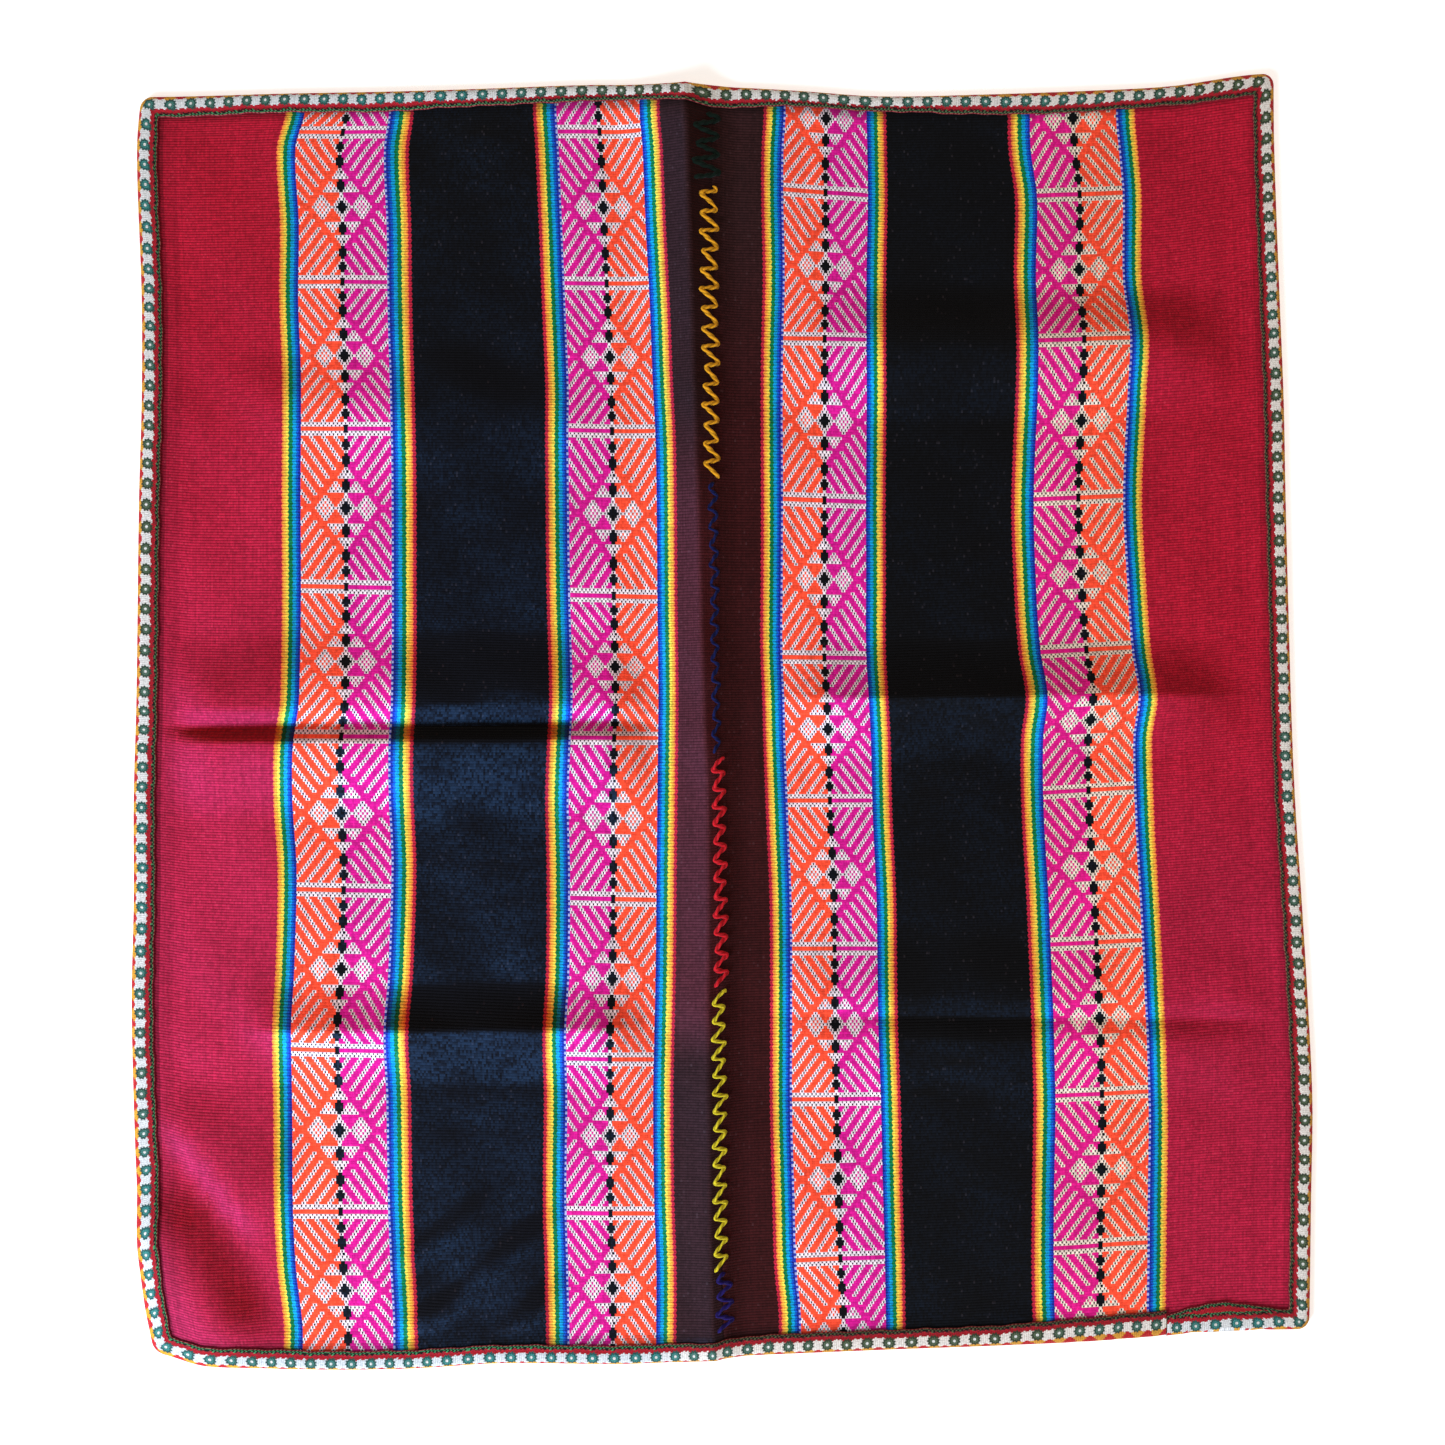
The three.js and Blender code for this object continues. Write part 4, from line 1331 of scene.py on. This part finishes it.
def band_dyes(eyes, pushed, rows):
    """Colour of every face by its letter, and of the eyes there, from painted warm light and shade
    to painted cool light along the band.

    Pushed rows slide past the cord. Where they leave room, a second cord with red before it fills
    it, and where there is none, rows of red are hidden.
    """
    column = np.floor(eyes[:-1] * EYE_COLUMNS).astype(int) % EYE_COLUMNS
    letters = np.array([list(row) for row in BAND_CHART]).T[column]
    shift = np.round(pushed[:-1, None] / CHART_ROW).astype(int)
    row = np.arange(rows)[None, :]
    second = np.where(row - CORD_ROWS < shift - CORD_ALONE, RED_ROW, row - shift)
    moved = np.where(row < CORD_ROWS + shift, second, row - shift)
    moved = np.where(row < CORD_ROWS, row, moved)
    moved = np.where(row < FINE_ROWS + shift, moved, row)
    letters = np.take_along_axis(letters, np.minimum(moved, rows - 1), axis=1)
    order = sorted(BAND_YARNS)
    warm_light_dyes, cool_light_dyes = (np.array([dyed(BAND_YARNS[key][i]) for key in order]) for i in (0, 1))
    kind, eye = np.searchsorted(order, letters), order.index("e")
    # Painted cool light and painted warm shade along the band. The eyes also get their dye lots.
    cool_light_share = np.clip(curve_through(BAND_LENGTH[:-1], *BAND_COOL_LIGHT.T), 0.0, 1.0)[:, None, None]
    lot = DYE_LOTS * np.sin(BAND_LENGTH / LOT_LENGTH + np.sin(BAND_LENGTH / LOT_DRIFT))
    eye_light_and_lot = np.clip(cool_light_share + lot[:-1, None, None], 0.0, 1.0)
    colours = warm_light_dyes[kind] * (1 - cool_light_share) + cool_light_dyes[kind] * cool_light_share
    eye_colours = np.broadcast_to(warm_light_dyes[eye] * (1 - eye_light_and_lot) + cool_light_dyes[eye] * eye_light_and_lot, colours.shape)
    ends = np.array([dyed(CUT_END)] * 2)
    return [np.concatenate((part.reshape(-1, 4), ends)) for part in (colours, eye_colours)]


def band_maps(count, rows):
    """Weave map: stations and rows. Bake map: the band cut into lengths, one above the other."""
    grids = np.meshgrid(np.arange(count), np.arange(rows + 1), indexing="ij")
    station, line = (at_corners(grid, FACING_UP) for grid in grids)
    length = np.ceil((count - 1) / BAKE_ROWS)
    bake_row = np.floor(station[..., :1] / length)
    along = BAKE_ALONG[0] + BAKE_ALONG[1] * (station / length - bake_row)
    about = (bake_row + BAKE_ROUND[0] + BAKE_ROUND[1] * line / rows) / BAKE_ROWS
    return tube_maps({"Weave": (station, line), "OFBake": (along, about)}, rows, BAKE_CAPS)


# %% Build the band
FAR_FROM_EYE = 99.0


def edge_band(name):
    """The section at every station of the path, closed round and capped at the join."""
    points, way, pushed = band_points()
    count, rows = points.shape[:2]
    faces = tube_faces(count, rows, FACING_UP)
    piece = make_piece(name, points, faces, band_maps(count, rows))

    eyes = (BAND_LENGTH + waves_along(EYE_WAVES)) / EYE_PITCH
    for layer, colours in zip(("yarn", "eye_yarn"), band_dyes(eyes, pushed, rows)):
        set_layer(piece, layer, "FACE", colours)
    # Millimetres from the middle of the eye, and eyes counted along the band.
    from_eye = np.full((count, rows), FAR_FROM_EYE)
    from_eye[:, :way.shape[1]] = way - pushed[:, None] - EYE_ROW * CHART_ROW
    set_layer(piece, "across_eye", "POINT", from_eye)
    set_layer(piece, "along_eyes", "POINT", np.repeat(eyes, rows))
    print(name, "eyes", int(eyes[-1]))
    return piece


band = edge_band("edge_band")

# %% [markdown]
# ## The wool of the band
#
# Fine two-ply wool, woven close. Each cell is a small float that stands up between its
# neighbours, with painted shade at its edges, and single yarns differ a little in tone. An eye is a
# dark ring with short spokes, a greener inside and a white dot, all from the distance to its
# middle.

# %% Eyes of the band
EYE_RADIUS, EYE_EDGE = 4.3, 0.35
EYE_SPOKES, SPOKE_LENGTH = 11, 0.45
# Radii between which the white dot ends, and the greener inside starts and ends.
DOT_END, GREEN_START, GREEN_END = (0.8, 1.3), (1.1, 1.7), (2.3, 2.9)
RING_TONE, GREEN_TONE = 0.5, 1.4
DOT_WHITE = "#e8ece6"


def eye_nodes(tree, ground):
    """The ground's colour with an eye over it: tones of the eye's yarn by radius and angle."""
    across = add(tree, "Attribute", attribute_name="across_eye").outputs["Fac"]
    along = add(tree, "Attribute", attribute_name="along_eyes").outputs["Fac"]
    dye = add(tree, "Attribute", attribute_name="eye_yarn").outputs["Color"]
    turn = add(tree, "Math", {0: along}, operation="FRACT")
    along = add(tree, "Math", {0: turn, 1: EYE_PITCH, 2: -EYE_PITCH / 2}, operation="MULTIPLY_ADD")
    square = add(tree, "Math", {0: across, 1: across}, operation="MULTIPLY")
    square = add(tree, "Math", {0: along, 1: along, 2: square}, operation="MULTIPLY_ADD")
    radius = add(tree, "Math", {0: square}, operation="SQRT")
    angle = add(tree, "Math", {0: across, 1: along}, operation="ARCTAN2")
    spokes = add(tree, "Math", {0: angle, 1: EYE_SPOKES}, operation="MULTIPLY")
    spokes = add(tree, "Math", {0: spokes}, operation="COSINE")
    ragged = add(tree, "Math", {0: spokes, 1: SPOKE_LENGTH, 2: radius}, operation="MULTIPLY_ADD")
    past_dot = add(tree, "MapRange", {
        "Value": ragged, "From Min": GREEN_START[0], "From Max": GREEN_START[1],
    })
    # Each of these is 1 up to a radius and 0 past it.
    inside, in_ring, dot = (
        add(tree, "MapRange", {
            "Value": value, "From Min": full, "From Max": gone, "To Min": 1.0, "To Max": 0.0,
        })
        for value, full, gone in (
            (ragged, EYE_RADIUS - EYE_EDGE, EYE_RADIUS + EYE_EDGE),
            (ragged, *GREEN_END),
            (radius, *DOT_END),
        )
    )
    green = add(tree, "Math", {0: past_dot, 1: in_ring}, operation="MULTIPLY")
    tone = add(tree, "MapRange", {"Value": green, "To Min": RING_TONE, "To Max": GREEN_TONE})
    eye = add(tree, "VectorMath", {0: dye, "Scale": tone}, operation="SCALE")
    dotted = add(tree, "Mix", {0: dot, 6: eye, 7: dyed(DOT_WHITE)}, data_type="RGBA")
    return add(
        tree, "Mix", {0: inside, 6: ground, 7: dotted.outputs[2]}, data_type="RGBA"
    ).outputs[2]


# %% Woven band


def banded_wool(name):
    """Dye of the face with its eye, times the tone of its cell: a sine along and one across, as
    painted shade at the cell's edges and a faint painted highlight on its top.
    """
    material, tree = new_material(name)
    weave = add(tree, "UVMap", uv_map="Weave")
    yarn = add(tree, "Attribute", attribute_name="yarn")
    patterned = eye_nodes(tree, yarn.outputs["Color"])
    split = add(tree, "SeparateXYZ", {0: weave})
    waves = []
    for axis in ("X", "Y"):
        turn = add(tree, "Math", {0: split.outputs[axis], 1: np.pi}, operation="MULTIPLY")
        wave = add(tree, "Math", {0: turn}, operation="SINE")
        waves.append(add(tree, "Math", {0: wave}, operation="ABSOLUTE"))
    cell = add(tree, "Math", {0: waves[0], 1: waves[1]}, operation="MULTIPLY")
    # Painted shade at the edges of each cell and a faint painted highlight on its top.
    cell_shade_and_highlight = add(tree, "MapRange", {"Value": cell, "To Min": 0.72, "To Max": 1.08})
    spots = add(tree, "TexNoise", {"Vector": weave, "Scale": 0.7, "Detail": 3.0})
    spot_tone = add(tree, "MapRange", {
        "Value": spots, **NOISE_RANGE, "To Min": 0.72, "To Max": 1.2,
    })
    tone = add(tree, "Math", {0: cell_shade_and_highlight, 1: spot_tone}, operation="MULTIPLY")
    colour = add(tree, "VectorMath", {0: patterned, "Scale": tone}, operation="SCALE")
    bump = add(tree, "Bump", {"Strength": 0.6, "Distance": 0.0005, "Height": cell})
    shader = add(tree, "BsdfPrincipled", {
        "Base Color": colour, "Roughness": 0.85, "Normal": bump,
        "Specular IOR Level": 0.15, "Sheen Weight": 0.04, "Sheen Roughness": 0.45,
    })
    add(tree, "OutputMaterial", {"Surface": shader})
    return material


band.data.materials.append(banded_wool("fine_woven_wool"))
print("material:", band.data.materials[0].name)

# %% [markdown]
# ## The yarn of the seam
#
# Six lengths of thick plied yarn hold the panels together, and each was worked as a row of
# slanting stitches: one long stroke across the seam, one short one back. The path is a wave that
# runs fast on the long stroke and slowly on the short one. The tube round it is two-lobed and
# turns along the path, as two plies do.

# %% Paths of the stitches
YARN_STEPS = 26
POINTED = 0.93
DIP = 0.5
# Stitches differ in width. Columns: share of the width, radians for each stitch, start.
UNEVEN_STITCHES = ((0.12, 2.1, 0.0), (0.1, 5.3, 1.0))
# Columns: name, colour, start and end along the cloth, pitch, reach to the left and to the right of
# the seam, drift to the right at the far end, which way the long stroke leans, how level the short
# one is, radius and lift.
STITCHES = (
    ("violet", "#1c1058", 21.0, 64.0, 13.0, 6.0, 6.5, 0.0, 1, 0.3, 1.5, 0.1),
    ("yellow", "#d0c024", 66.5, 273.0, 13.2, 7.0, 2.8, 0.8, 1, 0.75, 1.3, 0.7),
    ("red", "#c41824", 276.5, 445.0, 13.4, 4.0, 5.2, 0.0, 1, 0.8, 1.6, 0.65),
    ("navy", "#0d164a", 448.5, 649.0, 14.0, 3.8, 2.0, 0.0, 1, 0.5, 1.35, -0.2),
    ("gold", "#d8981a", 652.5, 868.0, 14.2, 5.4, 3.2, 0.0, -1, 0.85, 1.45, 0.75),
    ("green", "#04170f", 872.0, 921.0, 13.0, 8.0, 5.0, 0.0, 1, 0.3, 1.8, 0.0),
)


def stitch_path(start, end, pitch, left, right, drift, lean, level, radius, lift):
    """Across: a pointed wave between the two reaches. Along: the turn count less that wave.

    The yarn dips into the cloth by a share of its radius, most at both ends of a stroke.
    """
    turns = np.linspace(0.0, (end - start) / pitch, int((end - start) / pitch * YARN_STEPS))
    wave = np.arcsin(POINTED * np.cos(2 * np.pi * turns)) / np.arcsin(POINTED)
    uneven = 1.0 + sum(part * np.sin(turns * rate + at) for part, rate, at in UNEVEN_STITCHES)
    across = SEAM_AT + (right - left) / 2 - lean * wave * (right + left) / 2 * uneven
    along = start + pitch * (turns - level * (wave - 1.0) / (2 * np.pi))
    along = np.clip(along, start, end)
    across = across + drift * (along - start) / (end - start)
    x, y = on_floor(across, along)
    rise = CLOTH_THICK + radius * (lift - DIP * wave ** 4)
    return np.stack((x, y, cloth_under(x, y, across, along) + rise), axis=-1)


print("stitches of the seam:", sum(round((end - start) / pitch) for (
    _, _, start, end, pitch, *_
) in STITCHES))

# %% Tubes of plied yarn
RING = 12
PLY_TURN, PLY_SWELL = 7.5, 0.16
SLUB, SLUB_LENGTHS = 0.16, (1.9, 4.7)
END_RUN, END_SIZE = 1.5, 0.35
BAKE_TUBE = (0.01, 0.98)


def plied_yarn(name, path, radius):
    """Round the path: radius times 1 plus a swell of cos 2(angle - turn), with closed ends."""
    ahead = np.gradient(path, axis=0)
    step = np.linalg.norm(ahead, axis=1, keepdims=True)
    ahead = ahead / np.maximum(step, 1e-9)
    beside = np.cross(ahead, (0.0, 0.0, 1.0))
    beside = beside / np.linalg.norm(beside, axis=1, keepdims=True)
    above = np.cross(beside, ahead)
    length = np.append(0.0, np.cumsum(np.linalg.norm(np.diff(path, axis=0), axis=1)))[:, None]
    turn = np.linspace(0.0, 2 * np.pi, RING + 1)[None, :]
    angle = turn[:, :-1]
    swell = 1.0 + PLY_SWELL * np.cos(2 * (angle - np.pi * length / PLY_TURN))
    slub = 1.0 + SLUB * np.sin(length / SLUB_LENGTHS[0]) * np.sin(length / SLUB_LENGTHS[1])
    taper = END_SIZE + (1.0 - END_SIZE) * smoothstep(
        length, 0.0, END_RUN * radius
    ) * smoothstep(length[-1] - length, 0.0, END_RUN * radius)
    size = (radius * slub * swell * taper)[..., None]
    points = path[:, None] + size * (
        np.cos(angle)[..., None] * beside[:, None] + np.sin(angle)[..., None] * above[:, None]
    )
    along, about = (
        at_corners(grid, FACING_DOWN) for grid in (length + 0.0 * turn, turn + 0.0 * length)
    )
    maps = tube_maps({
        "Ply": (about / np.pi - along / PLY_TURN, along / PLY_TURN),
        "OFBake": (
            BAKE_TUBE[0] + BAKE_TUBE[1] * about / (2 * np.pi),
            BAKE_TUBE[0] + BAKE_TUBE[1] * along / length[-1],
        ),
    }, RING, 0.0)
    piece = make_piece(name, points, tube_faces(len(path), RING, FACING_DOWN), maps)
    print(name, "length, mm", round(float(length[-1, 0])))
    return piece


# %% [markdown]
# ## Plied wool
#
# Thick soft yarn of two plies. The eye sees a matt, fuzzy strand with painted shade in the line
# where the plies lie against each other.

# %% Plied wool and the six lengths


def plied_wool(name, hex_code):
    """One dye times painted shade in the crease between the plies, a cosine of the turn, and a
    fine fuzz.
    """
    material, tree = new_material(name)
    ply = add(tree, "UVMap", uv_map="Ply")
    split = add(tree, "SeparateXYZ", {0: ply})
    turn = add(tree, "Math", {0: split.outputs["X"], 1: 2 * np.pi}, operation="MULTIPLY")
    wave = add(tree, "Math", {0: turn}, operation="COSINE")
    # Painted shade in the crease where the plies meet.
    crease_shade = add(tree, "MapRange", {
        "Value": wave, "From Min": -1.0, "From Max": 0.2, "To Min": 0.55, "To Max": 1.0,
    })
    fuzz = add(tree, "TexNoise", {
        "Vector": add(tree, "TexCoord").outputs["Object"], "Scale": 900.0, "Detail": 3.0,
    })
    fuzz_tone = add(tree, "MapRange", {
        "Value": fuzz, **NOISE_RANGE, "To Min": 0.75, "To Max": 1.2,
    })
    tone = add(tree, "Math", {0: crease_shade, 1: fuzz_tone}, operation="MULTIPLY")
    colour = add(tree, "VectorMath", {0: dyed(hex_code)[:3], "Scale": tone}, operation="SCALE")
    height = add(tree, "Math", {0: wave, 1: fuzz}, operation="ADD")
    bump = add(tree, "Bump", {"Strength": 0.5, "Distance": 0.0004, "Height": height})
    shader = add(tree, "BsdfPrincipled", {
        "Base Color": colour, "Roughness": 0.85, "Normal": bump,
        "Specular IOR Level": 0.1, "Sheen Weight": 0.05, "Sheen Roughness": 0.5,
    })
    add(tree, "OutputMaterial", {"Surface": shader})
    return material


seam_yarns = {}
for colour_name, hex_code, *shape in STITCHES:
    strand = plied_yarn("seam_yarn_" + colour_name, stitch_path(*shape), shape[-2])
    strand.data.materials.append(plied_wool("plied_wool_" + colour_name, hex_code))
    seam_yarns[colour_name] = strand

# %% [markdown]
# ## Attach the pieces
#
# Each piece stands for one solid of the part: it is attached to the root body, and that solid is
# hidden. Both panels are sheets of cloth that lie on the floor, and the band and the yarns are sewn
# to them.

PIECES = (
    (left_cloth, "panel_left", "woven_panel_left"),
    (right_cloth, "panel_right", "woven_panel_right"),
    (band, "edging", "edge_band"),
    *((strand, "seam_" + key, "yarn_" + key) for key, strand in seam_yarns.items()),
)
for piece, node_name, slot_name in PIECES:
    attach(piece, "root")
    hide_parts(node_name)
print("pieces:", len(PIECES))

# %% [markdown]
# ## Floor and light
#
# The floor is plain and white, with a little light of its own so that shadows stay faint. A wide
# soft light stands at the lower left, low enough to show the folds, and a large one overhead fills
# the rest.

# %% Floor and lights
FLOOR_HALF = 4.0
FLOOR_DROP = 0.0004
floor_corners = np.array([(-1, -1, 0), (1, -1, 0), (1, 1, 0), (-1, 1, 0)]) * FLOOR_HALF
floor_mesh = bpy.data.meshes.new("floor")
floor_mesh.from_pydata(floor_corners - (0.0, 0.0, FLOOR_DROP), [], [(0, 1, 2, 3)])
floor = bpy.data.objects.new("floor", floor_mesh)
bpy.context.collection.objects.link(floor)
floor_paint, floor_tree = new_material("matt_white_floor")
floor_shader = add(floor_tree, "BsdfPrincipled", {
    "Base Color": dyed("#f2f1ef"), "Roughness": 0.9, "Specular IOR Level": 0.1,
    "Emission Color": dyed("#ffffff"), "Emission Strength": 0.42,
})
add(floor_tree, "OutputMaterial", {"Surface": floor_shader})
floor_mesh.materials.append(floor_paint)

# Columns: name, place, width, watts, colour. Each looks at the middle of the cloth.
LIGHTS = (
    ("key", (-1.6, -1.7, 1.3), 1.0, 110.0, "#e2ecff"),
    ("overhead", (0.5, 0.4, 2.6), 2.4, 27.0, "#fff0e0"),
)
for light_name, place, width, watts, tint in LIGHTS:
    lamp = bpy.data.lights.new(light_name, "AREA")
    lamp.size = width
    lamp.energy = watts
    lamp.color = dyed(tint)[:3]
    light = bpy.data.objects.new(light_name, lamp)
    light.location = place
    aim = np.array(place)
    flat = float(np.hypot(aim[0], aim[1]))
    light.rotation_euler = (
        float(np.arctan2(flat, aim[2])), 0.0, float(np.arctan2(aim[0], -aim[1]))
    )
    bpy.context.collection.objects.link(light)

world = bpy.data.worlds.new("studio")
bpy.context.scene.world = world
world.use_nodes = True
world.node_tree.nodes["Background"].inputs["Color"].default_value = dyed("#fff4ea")
world.node_tree.nodes["Background"].inputs["Strength"].default_value = 0.32
bpy.context.scene.view_settings.view_transform = "Standard"
print("lights:", *(row[0] for row in LIGHTS))
